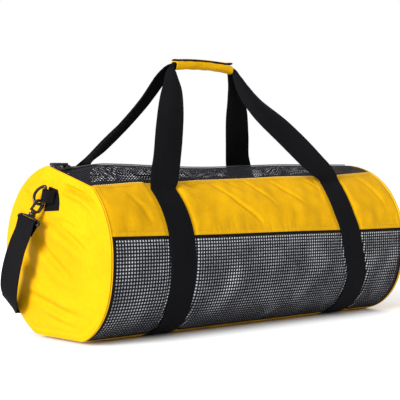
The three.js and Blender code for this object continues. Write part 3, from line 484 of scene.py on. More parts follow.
CAP_CREASES = [    # y and z on the end
    {"line": [(44, 243), (0, 244), (-36, 239), (-72, 230), (-100, 214), (-118, 192)], "depth": 2.8, "width": 4.6, "side": 1},
    {"line": [(12, 259), (-30, 254), (-66, 242), (-96, 226)], "depth": 1.2, "width": 5.0, "side": 1},
    {"line": [(19, 199), (-10, 184), (-50, 163), (-98, 139)], "depth": 2.6, "width": 8.0, "side": 1},
    {"line": [(8, 197), (-40, 184), (-86, 168), (-129, 160)], "depth": 1.3, "width": 7.0, "side": 1},
    {"line": [(94, 232), (66, 229), (40, 214), (30, 204)], "depth": 2.3, "width": 6.0, "side": -1},
    {"line": [(104, 205), (84, 196), (58, 190)], "depth": 2.2, "width": 8.0, "side": 1},
    {"line": [(44, 176), (10, 138), (-30, 112), (-62, 96)], "depth": 2.0, "width": 9.0, "side": 1},
    {"line": [(88, 150), (60, 118), (32, 92)], "depth": 1.6, "width": 9.0, "side": 1},
    {"line": [(70, 78), (20, 62), (-30, 48), (-80, 42)], "depth": 1.8, "width": 8.0, "side": -1},
    {"line": [(-20, 214), (-62, 196), (-96, 168), (-112, 134)], "depth": 1.1, "width": 9.0, "side": 1},
    {"line": [(30, 44), (-20, 30), (-60, 24)], "depth": 1.1, "width": 6.0, "side": -1},
]


def cap_fold(side, y, z):
    """How far the end stands out of its plain dome, in millimetres."""
    yy = y if side < 0 else y * 0.97
    h = 2.6 * waves(yy, z, 31 if side < 0 else 37, 95) + 0.8 * waves(yy, z, 41 if side < 0 else 43, 38)
    for i, c in enumerate(CAP_CREASES):
        line = c["line"] if side < 0 else [(-a * 0.9 - 8, b * 0.96 + (4 if i % 2 else 1)) for a, b in c["line"]]
        h = h + crease(yy, z, line, c["depth"] * (3.0 if side < 0 else 2.4), c["width"] * 0.8, 0.8, c["side"] if side < 0 else -c["side"])
    return h


def cap(side):
    f = np.concatenate([np.linspace(0.012, 0.9, 54), np.linspace(0.91, 1, 13)])
    turn = 90 - np.arange(0, 360, 2.5)
    rim = rim_point(side, turn, 0.2)
    y = rim[None, :, 1] * f[:, None]
    z = RADIUS + (rim[None, :, 2] - RADIUS) * f[:, None]
    size = np.hypot(rim[:, 1], rim[:, 2] - RADIUS)[None, :]
    edge = (1 - f)[:, None] * size
    # the tab and ring patch lie on the undisturbed dome
    d = np.hypot((y - 0) / 34, (z - 220) / 34)
    free = smooth((d - 0.72) / 0.5) * smooth(edge / 20)
    h = cap_fold(side, y, z) * free
    if side < 0:
        h = h + 5.0 * np.exp(-(((y - 92) / 42) ** 2) - (((z - 196) / 52) ** 2)) * smooth(edge / 22)
    h = h + 0.7 * np.exp(-(((edge - 6) / 3.5) ** 2)) - 0.55 * np.exp(-(((edge - 12) / 3.0) ** 2))
    rng = np.random.default_rng(61 if side < 0 else 67)
    ang = np.broadcast_to(turn[None, :], y.shape)
    for k in range(54):
        at, amount, reach = rng.uniform(0, 360), rng.uniform(0.2, 1), rng.uniform(8, 24)
        off = ((ang - at + 540) % 360 - 180) * ARC
        h = h - 0.7 * amount * np.exp(-((off / 4.0) ** 2)) * np.exp(-((edge / reach) ** 2)) * smooth(edge / 3)
    x = cap_height(f)[:, None] + 9 * np.tanh(h / 9)
    outer = np.stack([side * x, y, z], -1)
    inner = np.stack([side * (x - CLOTH), y, z], -1)
    inner[-1, :, 1:] = outer[-1, :, 1:]
    verts, faces = shell(outer, inner, wrap_j=True)
    # the small middle is closed by a fan on each face; the two rings there were joined by a wall, which goes
    n, m = outer.shape[:2]
    ring_o, ring_i = set(range(m)), set(range(n * m, n * m + m))
    faces = [q for q in faces if not (set(q) <= ring_o | ring_i and set(q) & ring_o and set(q) & ring_i)]
    mid_o, mid_i = len(verts), len(verts) + 1
    verts = np.vstack([verts, outer[0].mean(0), inner[0].mean(0)])
    fan = []
    for j in range(m):
        k = (j + 1) % m
        fan += [(mid_o, j, k), (mid_i, n * m + k, n * m + j)]
    probe = verts[[mid_o, 0, 1]]
    if np.cross(probe[1] - probe[0], probe[2] - probe[0])[0] * side < 0:
        fan = [tuple(reversed(q)) for q in fan]
    uv = np.concatenate([np.stack([y, z], -1).reshape(-1, 2)] * 2 + [[[0, RADIUS], [0, RADIUS]]])
    name = "end_cap_" + ("left" if side < 0 else "right")
    ob = place_solid(name + "_cloth", (verts, faces + fan), YELLOW, "yellow_fabric", [name], uv)
    return ob


def base():
    x = np.linspace(-END, END, 165)
    edge = (BINDING / 2 + GAP) / ARC
    turn = np.concatenate([np.linspace(BASE_SEAM - edge, FLAT_EDGE, 12), np.linspace(FLAT_EDGE, -180 - FLAT_EDGE, 13)[1:-1],
                           np.linspace(-180 - FLAT_EDGE, -180 - BASE_SEAM + edge, 12)])
    xx, tt = np.meshgrid(x, turn, indexing="ij")
    side = np.minimum(tt - turn.min(), turn.max() - tt) * ARC
    h = 0.8 * waves(xx, tt * ARC, 71, 60) * smooth(side / 6) * smooth((22 - side) / 10) * smooth(web_away(xx, tt) / 14) * smooth((END - np.abs(xx)) / 14)
    h = h + 0.4 * np.exp(-(((side - 2.2) / 1.8) ** 2)) * smooth(web_away(xx, tt) / 6)
    outer = surface(xx, tt, h)
    outer[..., 2] = np.maximum(outer[..., 2], 0)
    uv = np.concatenate([np.stack([xx, tt * ARC], -1).reshape(-1, 2)] * 2)
    ob = place_solid("base_panel_cloth", shell(outer, surface(xx, tt, h - CLOTH)), YELLOW, "yellow_fabric", ["base_panel"], uv)
    return ob


for side in (-1, 1):
    cap(side)
band(False)
band(True)
base()


def piping(side):
    turn = 90 - np.arange(0, 360, 1.5)
    ring = []
    wide, high = 3.0, 3.4
    middle = HALF + CAP_EDGE - CLOTH - 0.3 - 1.5
    for k in range(10):
        a = 2 * math.pi * k / 10
        p = rim_point(side, turn, 0.9 - high / 2 * math.sin(a) + high / 2 - 1.0)
        p[:, 0] = side * (middle + wide / 2 * math.cos(a))
        ring.append(p)
    rings = np.stack(ring, 1)
    rings[..., 2] = np.maximum(rings[..., 2], 0.02)
    name = "end_piping_" + ("left" if side < 0 else "right")
    uv = np.stack([np.broadcast_to(turn[:, None] * ARC, rings.shape[:2]), np.broadcast_to(np.arange(10)[None] * 1.0, rings.shape[:2])], -1).reshape(-1, 2)
    # the cord takes the lighter yellow, a painted highlight along the end seam
    place_solid(name + "_cord", tube(rings, closed=True), PIPING_PAINTED_HIGHLIGHT, "yellow_fabric", [name], uv)


piping(-1)
piping(1)


# ------------------------------------------------------------------ the nets
def net(name, x_of, turn_of, nx, nt_, hole, lift, thick, node_name, back, sag, round_strand=0.12):
    """Open mesh: x_of(f, g) and turn_of(f, g) map a cell grid; each cell has an eight-sided hole."""
    fi, gi = np.linspace(0, 1, 2 * nx + 1), np.linspace(0, 1, 2 * nt_ + 1)
    F, G = np.meshgrid(fi, gi, indexing="ij")

    def at(f, g, out):
        g = np.asarray(g, float)
        x = x_of(f, g)
        t = turn_of(x, g)
        t = over(t) if back else t
        return surface(x, t, out + lift + sag(x, t, g))

    half_x, half_t = hole
    ca, cb = (np.arange(nx) + 0.5) / nx, (np.arange(nt_) + 0.5) / nt_
    A, B = np.meshgrid(ca, cb, indexing="ij")
    ring_f, ring_g = [], []
    for k in range(8):
        a = (k + 0.0) * math.pi / 4
        rr = 1.0 if k % 2 == 0 else 1.06
        ring_f.append(A + half_x * rr * math.cos(a) / nx)
        ring_g.append(B + half_t * rr * math.sin(a) / nt_)
    ring_f, ring_g = np.stack(ring_f, -1), np.stack(ring_g, -1)
    use = np.ones(F.shape, bool)
    use[1::2, 1::2] = False
    ids = -np.ones(F.shape, int)
    ids[use] = np.arange(use.sum())
    outer = np.concatenate([at(F[use], G[use], 0.0), at(ring_f, ring_g, -round_strand).reshape(-1, 3)])
    inner = np.concatenate([at(F[use], G[use], -thick), at(ring_f, ring_g, -thick + round_strand).reshape(-1, 3)])
    count = len(outer)
    hole_id = use.sum() + np.arange(nx * nt_ * 8).reshape(nx, nt_, 8)
    I, J = np.meshgrid(np.arange(nx), np.arange(nt_), indexing="ij")
    # boundary ring of a cell in the same order as the hole's corners
    steps = [(2, 1), (2, 2), (1, 2), (0, 2), (0, 1), (0, 0), (1, 0), (2, 0)]
    rim = np.stack([ids[2 * I + a, 2 * J + b] for a, b in steps], -1)
    nxt = lambda z: np.roll(z, -1, axis=-1)
    top = np.stack([hole_id, rim, nxt(rim), nxt(hole_id)], -1).reshape(-1, 4)
    bottom = (np.stack([nxt(hole_id), nxt(rim), rim, hole_id], -1) + count).reshape(-1, 4)
    wall = np.stack([hole_id, nxt(hole_id), nxt(hole_id) + count, hole_id + count], -1).reshape(-1, 4)
    faces = [top, bottom, wall]
    for line, flip in ((ids[:, 0], 0), (ids[:, -1], 1), (ids[0, :], 1), (ids[-1, :], 0)):
        a, b = line[:-1], line[1:]
        quad = np.stack([b, a, a + count, b + count], -1)
        faces.append(quad[:, ::-1] if flip else quad)
    faces = [tuple(q) for q in np.concatenate(faces).tolist()]
    verts = np.concatenate([outer, inner])
    faces = outward(verts, faces)
    ob = place_solid(name, (verts, faces), NET, "net", [node_name], angle=None)
    return ob


def side_net(back):
    inset = 4.35
    e = END - inset
    trim = (BINDING / 2 + GAP) / ARC
    x_of = lambda f, g: -e + 2 * e * f
    turn_of = lambda x, g: seam_low(x) - trim + (BASE_SEAM + trim - seam_low(x) + trim) * g

    def sag(x, t, g):
        free = smooth(web_away(x, t) / 14) * smooth(g * 8) * smooth((1 - g) * 8) * smooth((e - np.abs(x)) / 16)
        return 0.35 * waves(x, t * ARC, 81 + back, 80) * free

    name = "side_mesh_" + ("back" if back else "front")
    return net(name + "_net", x_of, turn_of, 120, 32, (0.30, 0.325), -0.5, 0.55, name, back, sag)


def top_net(back):
    x_of = lambda f, g: -END + 2 * END * f
    turn_of = lambda x, g: 90 - TAPE_HALF - 0.15 + (seam_top(x) + 0.075 - 90 + TAPE_HALF + 0.15) * g

    def sag(x, t, g):
        free = smooth(web_away(x, t) / 14) * smooth(g * 5) * smooth((1 - g) * 5) * smooth((END - np.abs(x)) / 16)
        h = 1.7 * waves(x, t * ARC, 91 + back, 70) + 0.25 * waves(x, t * ARC, 95 + back, 30)
        return np.clip(h, -3.5, 2.2) * free

    name = "top_mesh_" + ("back" if back else "front")
    return net(name + "_net", x_of, turn_of, 118, 14, (0.335, 0.345), -0.2, 0.5, name, back, sag)


side_net(False)
side_net(True)
top_net(False)
top_net(True)


def liner(back):
    x = np.linspace(-338, 338, 130)
    trim = (BINDING / 2 + GAP) / ARC + 0.5
    g = np.linspace(0, 1, 18)
    turn = (seam_low(x) - trim)[:, None] + (BASE_SEAM + trim - seam_low(x) + trim)[:, None] * g[None, :]
    xx = np.broadcast_to(x[:, None], turn.shape)
    real = over(turn) if back else turn
    lo = -1.25
    free = smooth(np.minimum(g, 1 - g) * 8)[None, :] * smooth(web_away(xx, real) / 14)
    h = -1.2 * (0.5 + 0.5 * waves(xx, turn * ARC, 101 + back, 60)) * free
    h = np.minimum(h, 0)
    uv = np.concatenate([np.stack([xx, turn * ARC], -1).reshape(-1, 2)] * 2)
    name = "mesh_liner_" + ("back" if back else "front")
    ob = place_solid(name + "_sheet", shell(surface(xx, real, lo + h), surface(xx, real, lo + h - LINER)), LINER_MAT, "liner", [name], uv)
    return ob


liner(False)
liner(True)


# ------------------------------------------------------------------ bands that lie on the surface
def bound(xs, turns, across_x, across_t, width, low, high, profile=7):
    """A soft-edged band along a line on the surface; across_x and across_t point across it, in millimetres."""
    u = np.linspace(-1, 1, profile)
    X = xs[:, None] + across_x[:, None] * u[None] * width / 2
    T = turns[:, None] + across_t[:, None] * u[None] * width / 2 / ARC
    crown = (1 - np.abs(u) ** 3)[None]
    return shell(surface(X, T, low + (high - low) * (0.35 + 0.65 * crown)), surface(X, T, low))


def binding(back):
    parts = []
    x = np.linspace(-END, END, 225)
    zero, one = np.zeros(len(x)), np.ones(len(x))
    for line in ("low", "base"):
        t = seam_low(x) if line == "low" else np.full(len(x), BASE_SEAM)
        parts.append(bound(x, over(t) if back else t, zero, one, BINDING, -CLOTH, 0.45))
    for s in (-1, 1):
        mid = s * (END - BINDING / 2)
        a = seam_low(mid) - BINDING / 2 / ARC - 0.02
        b = BASE_SEAM + BINDING / 2 / ARC + 0.02
        t = np.linspace(a, b, 60)
        n = len(t)
        parts.append(bound(np.full(n, mid), over(t) if back else t, np.ones(n), np.zeros(n), BINDING, -CLOTH, 0.45))
    name = "mesh_binding_" + ("back" if back else "front")
    place_solid(name + "_tape", solid(parts), BIND, "binding", [name])


binding(False)
binding(True)


def web_band(side):
    top, back = {"left": (46, -229), "right": (51, -231)}[side]
    turn = np.concatenate([np.linspace(top + 0.25, back - 0.25, 300)])
    u = np.array([-1, -0.985, -0.93, -0.86, -0.6, -0.3, 0, 0.3, 0.6, 0.86, 0.93, 0.985, 1])
    line = web_line(turn, side)
    # a rounded line through the table's rows
    kernel = np.hanning(15)
    kernel /= kernel.sum()
    line = np.convolve(np.pad(line, 7, mode="edge"), kernel, mode="valid")
    X = line[:, None] + u[None] * WEB_WIDTH / 2
    T = np.broadcast_to(turn[:, None], X.shape)
    edge = np.exp(-(((np.abs(u) - 0.93) / 0.05) ** 2)) * 0.14 - 0.5 * (np.abs(u) > 0.99) - 0.22 * (np.abs(u) > 0.98)
    outer = surface(X, T, GAP + WEB - 0.05 + edge[None])
    inner = surface(X, T, GAP + 0.02)
    outer[..., 2] = np.maximum(outer[..., 2], 0.0)
    s = np.concatenate([[0], np.cumsum(np.linalg.norm(np.diff(outer[:, 6], axis=0), axis=1))])
    uv = np.concatenate([np.stack([np.broadcast_to(u[None] * 26, X.shape), np.broadcast_to(s[:, None], X.shape)], -1).reshape(-1, 2)] * 2)
    ob = place_solid("webbing_" + side + "_band", shell(outer, inner), WEBBING, "webbing", ["webbing_" + side], uv)
    return ob


web_band("left")
web_band("right")


# ------------------------------------------------------------------ free ribbons of webbing
def spline(points, values, step=3.0):
    """Catmull-Rom through the rows; the other columns follow the same parameter."""
    p = np.asarray(points, float)
    v = np.asarray(values, float)
    both = np.hstack([p, v])
    ext = np.vstack([2 * both[0] - both[1], both, 2 * both[-1] - both[-2]])
    out = []
    for i in range(1, len(ext) - 2):
        p0, p1, p2, p3 = ext[i - 1], ext[i], ext[i + 1], ext[i + 2]
        t = [0.0]
        for a, b in ((p0, p1), (p1, p2), (p2, p3)):
            t.append(t[-1] + max(1e-3, np.linalg.norm(b[:3] - a[:3])) ** 0.5)
        n = max(2, int(np.linalg.norm(p2[:3] - p1[:3]) / step))
        for k in range(n):
            s = t[1] + (t[2] - t[1]) * k / n
            a1 = (t[1] - s) / (t[1] - t[0]) * p0 + (s - t[0]) / (t[1] - t[0]) * p1
            a2 = (t[2] - s) / (t[2] - t[1]) * p1 + (s - t[1]) / (t[2] - t[1]) * p2
            a3 = (t[3] - s) / (t[3] - t[2]) * p2 + (s - t[2]) / (t[3] - t[2]) * p3
            b1 = (t[2] - s) / (t[2] - t[0]) * a1 + (s - t[0]) / (t[2] - t[0]) * a2
            b2 = (t[3] - s) / (t[3] - t[1]) * a2 + (s - t[1]) / (t[3] - t[1]) * a3
            out.append((t[2] - s) / (t[2] - t[1]) * b1 + (s - t[1]) / (t[2] - t[1]) * b2)
    out.append(ext[-2])
    return np.array(out)


def unit(v):
    return v / np.maximum(np.linalg.norm(v, axis=-1, keepdims=True), 1e-9)


def ribbon(p, across, wide, thick, cup, skew=None):
    """A band through p; cup bows its section towards its face, and skew keeps a section on its given line."""
    t = unit(np.gradient(p, axis=0))
    a = unit(across - (across * t).sum(1, keepdims=True) * t)
    if skew is not None:
        k = skew[:, None]
        a = unit(a * (1 - k) + unit(across) * k)
    n = np.cross(a, t)
    u = np.array([-1, -0.985, -0.93, -0.84, -0.62, -0.38, -0.13, 0.13, 0.38, 0.62, 0.84, 0.93, 0.985, 1])
    half = np.where(np.abs(u) > 0.99, 0.22, np.where(np.abs(u) > 0.98, 0.38, 0.5)) + 0.07 * np.exp(-(((np.abs(u) - 0.93) / 0.05) ** 2))
    bow = np.cos(u * math.pi / 2)
    mid = p[:, None] + a[:, None] * (u[None, :, None] * wide[:, None, None] / 2) + n[:, None] * (bow[None, :, None] - 0.5) * cup[:, None, None]
    # sections lean with the bow
    slope = -np.sin(u * math.pi / 2) * math.pi / 2
    lean = unit(n[:, None] * wide[:, None, None] / 2 - a[:, None] * slope[None, :, None] * cup[:, None, None])
    outer = mid + lean * (half[None, :, None] * thick[:, None, None])
    inner = mid - lean * (half[None, :, None] * thick[:, None, None])
    s = np.concatenate([[0], np.cumsum(np.linalg.norm(np.diff(p, axis=0), axis=1))])
    shape = outer.shape[:2]
    uv = np.concatenate([np.stack([np.broadcast_to(u[None] * 26, shape), np.broadcast_to(s[:, None], shape)], -1).reshape(-1, 2)] * 2)
    return shell(outer, inner), uv, s[-1]


HANDLE_FRONT = [   # x, y, z, width, thickness, face y, face z, bow
    (-211.2, -94.6, 238.9, 52, 1.8, -0.69, 0.72, 0),
    (-206, -90.5, 248, 52, 1.8, -0.80, 0.60, 0.5),
    (-190, -79, 276, 53, 1.8, -0.92, 0.40, 2),
    (-163.5, -57, 330, 54.5, 1.8, -0.92, 0.38, 4),
    (-139.5, -37, 378, 50, 1.9, -0.94, 0.34, 7),
    (-125.5, -25, 406, 40, 2.0, -0.97, 0.25, 9),
    (-118, -13, 428, 24, 2.2, -1, 0.1, 8),
    (-112.5, -6.5, 437.4, 12.5, 2.4, -1, 0, 3.5),
    (-105, -4.2, 441.5, 9.5, 2.8, -1, 0, 1),
    (-72, -4.0, 444.2, 9, 3.0, -1, 0, 0),
    (-35, -4.0, 445.0, 9, 3.0, -1, 0, 0),
    (2, -4.0, 443.9, 9, 3.0, -1, 0, 0),
    (27, -4.2, 441.8, 9.5, 2.8, -1, 0, 1),
    (33, -7, 437.4, 13, 2.4, -1, 0, 4),
    (37.5, -14, 425, 22, 2.2, -1, 0.1, 8),
    (43.5, -22, 408, 33, 2.1, -0.97, 0.25, 9),
    (61, -39, 376, 45, 2.0, -0.94, 0.34, 8),
    (110.5, -57, 332.5, 59, 1.8, -0.92, 0.38, 5),
    (160, -76, 284.5, 60.5, 1.8, -0.90, 0.42, 2),
    (186, -84, 261, 56, 1.8, -0.80, 0.60, 0.8),
    (197.8, -86.2, 247.6, 52, 1.8, -0.63, 0.78, 0),
]
HANDLE_BACK = [    # x, y, z, width, thickness, face x, y, z, bow
    (-239.6, 89.4, 244.2, 52, 1.8, 0, 0.66, 0.75, 0),
    (-239.5, 85, 257, 51, 1.8, -0.15, 0.78, 0.58, 0.5),
    (-229, 76, 282.5, 49, 1.8, -0.44, 0.65, 0.60, 2),
    (-201.5, 65, 311.4, 48, 1.8, -0.45, 0.70, 0.50, 4),
    (-175, 53, 340.6, 47, 1.9, -0.45, 0.70, 0.50, 6),
    (-142, 36, 383.5, 40, 2.0, -0.40, 0.78, 0.45, 8),
    (-125.5, 17, 418.5, 28, 2.2, -0.2, 0.95, 0.2, 8),
    (-112.5, 6.5, 437.4, 12.5, 2.4, 0, 1, 0, 3.5),
    (-105, 4.2, 441.5, 9.5, 2.8, 0, 1, 0, 1),
    (-72, 4.0, 444.2, 9, 3.0, 0, 1, 0, 0),
    (-35, 4.0, 445.0, 9, 3.0, 0, 1, 0, 0),
    (2, 4.0, 443.9, 9, 3.0, 0, 1, 0, 0),
    (27, 4.2, 441.8, 9.5, 2.8, 0, 1, 0, 1),
    (33.5, 7.5, 437.4, 13, 2.4, 0, 1, 0, 3.5),
    (42, 13, 426, 17, 2.2, 0, 1, 0.1, 5),
    (57, 24, 406, 28, 2.0, 0, 0.96, 0.28, 7),
    (78, 38, 375, 48, 1.9, 0, 0.93, 0.36, 6),
    (104, 60, 322, 55, 1.8, 0, 0.92, 0.38, 3),
    (124, 78, 280, 54.5, 1.8, 0, 0.90, 0.44, 1),
    (140, 85.5, 259, 52, 1.8, 0, 0.78, 0.62, 0.5),
    (150.8, 87.8, 246.0, 52, 1.8, 0, 0.64, 0.77, 0),
]


def handle(name, rows, ends):
    """ends: for each end, the webbing's side and the angle where it leaves the bag."""
    rows = np.array([r if len(r) == 9 else (*r[:5], 0, *r[5:]) for r in rows], float)
    skew = np.zeros(len(rows))
    extra = []
    for i, (side, turn, way) in zip((0, -1), ends):
        here = surface(web_line(turn, side), turn, GAP + WEB / 2)
        before = surface(web_line(turn - way * 4, side), turn - way * 4, GAP + WEB / 2)
        n = normals(web_line(turn, side), turn)
        rows[i] = [*here, WEB_WIDTH, WEB - 0.05, *n, 0]
        extra.append(np.array([*before, WEB_WIDTH, WEB - 0.05, *n, 0]))
        skew[i] = 1
        twisted = name == "handle_back" and i == 0
        skew[1 if i == 0 else -2] = 0.4 if twisted else 0.7
        skew[2 if i == 0 else -3] = 0.0 if twisted else 0.15
    rows = np.vstack([extra[0], rows, extra[1]])
    skew = np.concatenate([[1], skew, [1]])
    d = spline(rows[:, :3], np.hstack([rows[:, 3:], skew[:, None]]), 2.0)
    first = int(np.argmin(np.linalg.norm(d[:, :3] - rows[1, :3], axis=1)))
    last = int(np.argmin(np.linalg.norm(d[:, :3] - rows[-2, :3], axis=1)))
    t = unit(np.gradient(d[:, :3], axis=0))
    across = np.cross(t, d[:, 5:8])
    along_x = np.array([1.0, 0, 0]) * np.sign(across[:, :1] + 1e-9)
    across = unit(unit(across) * (1 - d[:, 9:10]) + along_x * d[:, 9:10])
    d, across = d[first:last + 1], across[first:last + 1]
    (verts, faces), uv, length = ribbon(d[:, :3], across, d[:, 3], d[:, 4], d[:, 8], d[:, 9])
    return place_solid(name + "_web", (verts, faces), WEBBING, "webbing", [name], uv), length


_, front_length = handle("handle_front", HANDLE_FRONT, [("left", 46.25, 1), ("right", 51.25, 1)])
_, back_length = handle("handle_back", HANDLE_BACK, [("left", -229.25, -1), ("right", -231.25, -1)])

# the wrap round both handles: an oval sleeve, a little crumpled, open at both ends
GRIP = [(-105, 442.6, 15.2, 19), (-72, 445.2, 14.2, 18.5), (-35, 445.9, 13.8, 18), (2, 444.8, 13.8, 18), (27, 442.6, 14.8, 18.5)]
g = spline([(x, 0, z) for x, z, _, _ in GRIP], [(a, b) for _, _, a, b in GRIP], 1.6)
ang = np.linspace(0, 2 * math.pi, 44, endpoint=False)


def sleeve(cut):
    ca, sa = np.cos(ang)[None], np.sin(ang)[None]
    power = 0.78
    rough = 0.45 * waves(g[:, 0][:, None] + 0 * ca, 12 * ang[None] + 0 * g[:, 0][:, None], 111, 22)
    y = np.sign(ca) * np.abs(ca) ** power * (g[:, 4][:, None] / 2 - cut + rough)
    z = g[:, 2][:, None] + np.sign(sa) * np.abs(sa) ** power * (g[:, 3][:, None] / 2 - cut + rough)
    x = np.broadcast_to(g[:, 0][:, None], y.shape) + 0.5 * np.sin(3 * ang)[None]
    return np.stack([x, y, z], -1)


uv = np.concatenate([np.stack([np.broadcast_to(g[:, 0][:, None], (len(g), 44)), np.broadcast_to(ang[None] * 10, (len(g), 44))], -1).reshape(-1, 2)] * 2)
grip = place_solid("grip_wrap_cloth", shell(sleeve(0), sleeve(1.4), wrap_j=True), YELLOW, "yellow_fabric", ["grip_wrap"], uv)

# its overlapping edge along the top, black inside, that lifts at both ends
x = np.linspace(-108, 29.2, 70)
zc = np.interp(x, g[:, 0], g[:, 2] + g[:, 3] / 2)
zc = np.where(x > 27, zc[-1], zc)
lift = 2.2 * smooth((x - 8) / 20) + 0.9 * smooth((-92 - x) / 15)
u = np.linspace(0, 1, 6)
fy = -5.2 + 7.2 * u[None] + 0 * x[:, None]
fz = zc[:, None] + 0.1 + lift[:, None] * (1 - u[None] * 0.6) + 1.2 * (1 - u[None]) * 0.4
fx = np.broadcast_to(x[:, None], fy.shape)
low = np.stack([fx, fy, fz], -1)
flap_uv = np.concatenate([np.stack([fx, fy], -1).reshape(-1, 2)] * 2)
place_solid("grip_flap_hook_side", shell(low + [0, 0, 1.9], low), BIND, "binding", ["grip_flap"], flap_uv)
top = low[6:] + np.array([0, 0.3, 1.95])
top_uv = np.concatenate([np.stack([fx[6:], fy[6:]], -1).reshape(-1, 2)] * 2)
place_solid("grip_flap_outer", shell(top + [0, 0, 0.8], top), YELLOW, "yellow_fabric", [], top_uv)


# ------------------------------------------------------------------ the zipper
def top_band(x, turns, outs, low):
    X, T = np.meshgrid(x, turns, indexing="ij")
    return shell(surface(X, T, np.broadcast_to(outs, X.shape)), surface(X, T, np.full(X.shape, low))), X, T


tape_turns = 90 + np.linspace(TAPE_HALF, -TAPE_HALF, 17)
tape_out = -0.05 - 0.25 * np.exp(-(((np.abs(tape_turns - 90) - 5.2) / 0.5) ** 2))
xs = np.linspace(-END, END, 240)
body, X, T = top_band(xs, tape_turns, tape_out[None], -1.1)
uv = np.concatenate([np.stack([X, T * ARC], -1).reshape(-1, 2)] * 2)
place_solid("zipper_tape_cloth", body, TAPE, "zipper_black", ["zipper_tape"], uv)

# the coil: two rows of small loops that meet in the middle
parts = []
pitch = 2.3
at = np.arange(-END + 4.5, END - 4.5, pitch)
for row in (-1, 1):
    xs_ = at + (pitch / 2 if row > 0 else 0)
    c = surface(xs_, np.full(len(xs_), 90 + row * 0.62), GAP + 0.9)
    n = normals(xs_, np.full(len(xs_), 90.0))
    side_dir = unit(np.cross(n, np.broadcast_to([1.0, 0, 0], n.shape)))
    for k in range(len(xs_)):
        ring = []
        for v, r in ((-1.45, 0.5), (-0.9, 0.92), (0.9, 0.92), (1.45, 0.5)):
            ring.append([c[k] + side_dir[k] * v + n[k] * (r * 0.95 * math.sin(a)) + np.array([1.0, 0, 0]) * (r * 0.95 * math.cos(a)) for a in (0.52, 1.57, 2.62, 3.67, 4.71, 5.76)])
        parts.append(tube(np.array(ring)))
place_solid("zipper_coil_teeth", joined(parts), COIL, "zipper_black", ["zipper_coil"], angle=50)


# solids from flat outlines, with rounded edges
def plate(outline, thick, bevel, holes=(), segments=2):
    """A rounded plate: the outline's axes and its thickness lie along x, y and z."""
    cu = bpy.data.curves.new("outline", "CURVE")
    cu.dimensions, cu.fill_mode = "2D", "BOTH"
    cu.extrude, cu.bevel_depth, cu.bevel_resolution, cu.offset = thick / 2 - bevel, bevel, segments, -bevel
    for pts in [outline, *holes]:
        sp = cu.splines.new("POLY")
        sp.points.add(len(pts) - 1)
        for q, (a, b) in zip(sp.points, pts):
            q.co = (a, b, 0, 1)
        sp.use_cyclic_u = True
    ob = bpy.data.objects.new("outline", cu)
    bpy.context.scene.collection.objects.link(ob)
    bpy.context.view_layer.update()
    me = bpy.data.meshes.new_from_object(ob.evaluated_get(bpy.context.evaluated_depsgraph_get()))
    import bmesh
    bm = bmesh.new()
    bm.from_mesh(me)
    bmesh.ops.remove_doubles(bm, verts=bm.verts, dist=1e-4)
    bmesh.ops.recalc_face_normals(bm, faces=bm.faces)
    verts = np.array([v.co[:] for v in bm.verts])
    faces = [tuple(v.index for v in f.verts) for f in bm.faces]
    bm.free()
    bpy.data.objects.remove(ob)
    bpy.data.curves.remove(cu)
    bpy.data.meshes.remove(me)
    return verts, faces


def placed(body, origin, a, b):
    a, b = np.array(a, float), np.array(b, float)
    basis = np.stack([a, b, np.cross(a, b)])
    return body[0] @ basis + np.array(origin, float), body[1]


def rounded(pts, r, n=4):
    """Rounds an outline's corners by r."""
    out = []
    m = len(pts)
    p = np.array(pts, float)
    for i in range(m):
        a, b, c = p[i - 1], p[i], p[(i + 1) % m]
        da, dc = a - b, c - b
        la, lc = np.linalg.norm(da), np.linalg.norm(dc)
        k = min(r, la * 0.45, lc * 0.45)
        s, e = b + da / la * k, b + dc / lc * k
        for j in range(n + 1):
            f = j / n
            out.append(tuple((1 - f) ** 2 * s + 2 * f * (1 - f) * b + f * f * e))
    return out


def lathe(profile, origin, axis, n=24):
    """profile: (along, radius) rows; the first and last are closed."""
    axis = unit(np.array(axis, float))
    ref = np.array([0.0, 1, 0]) if abs(axis[1]) < 0.9 else np.array([1.0, 0, 0])
    e1 = unit(np.cross(axis, ref))
    e2 = np.cross(axis, e1)
    a = np.linspace(0, 2 * math.pi, n, endpoint=False)
    ring = [np.array(origin) + axis * s + (np.cos(a)[:, None] * e1 + np.sin(a)[:, None] * e2) * r for s, r in profile]
    return tube(np.array(ring))


PIVOT = (-329.0, 0.0)
slider_base = float(raw(-323.0, 90.0)[2]) + 0.3
SLIDER_AT = (PIVOT[0], 0, slider_base + 2.75)
body_outline = rounded([(-5.5, -5.4), (3, -5.4), (5.5, -3.2), (5.5, 3.2), (3, 5.4), (-5.5, 5.4)], 1.6)
parts = [placed(plate(body_outline, 1.7, 0.5), (PIVOT[0], 0, slider_base + 0.85), (1, 0, 0), (0, 1, 0))]
for s in (-1, 1):
    cheek = rounded([(-5, 0.8), (5, 0.8), (4.2, 5.2), (2, 6.4), (-2, 6.4), (-4.2, 5.2)], 1.2)
    parts.append(placed(plate(cheek, 2.2, 0.5), (PIVOT[0], s * 3.8, slider_base), (1, 0, 0), (0, 0, 1)))
slider = joined(parts)
place_solid("zipper_slider_body", slider, METAL, "black_metal", ["zipper_slider"])

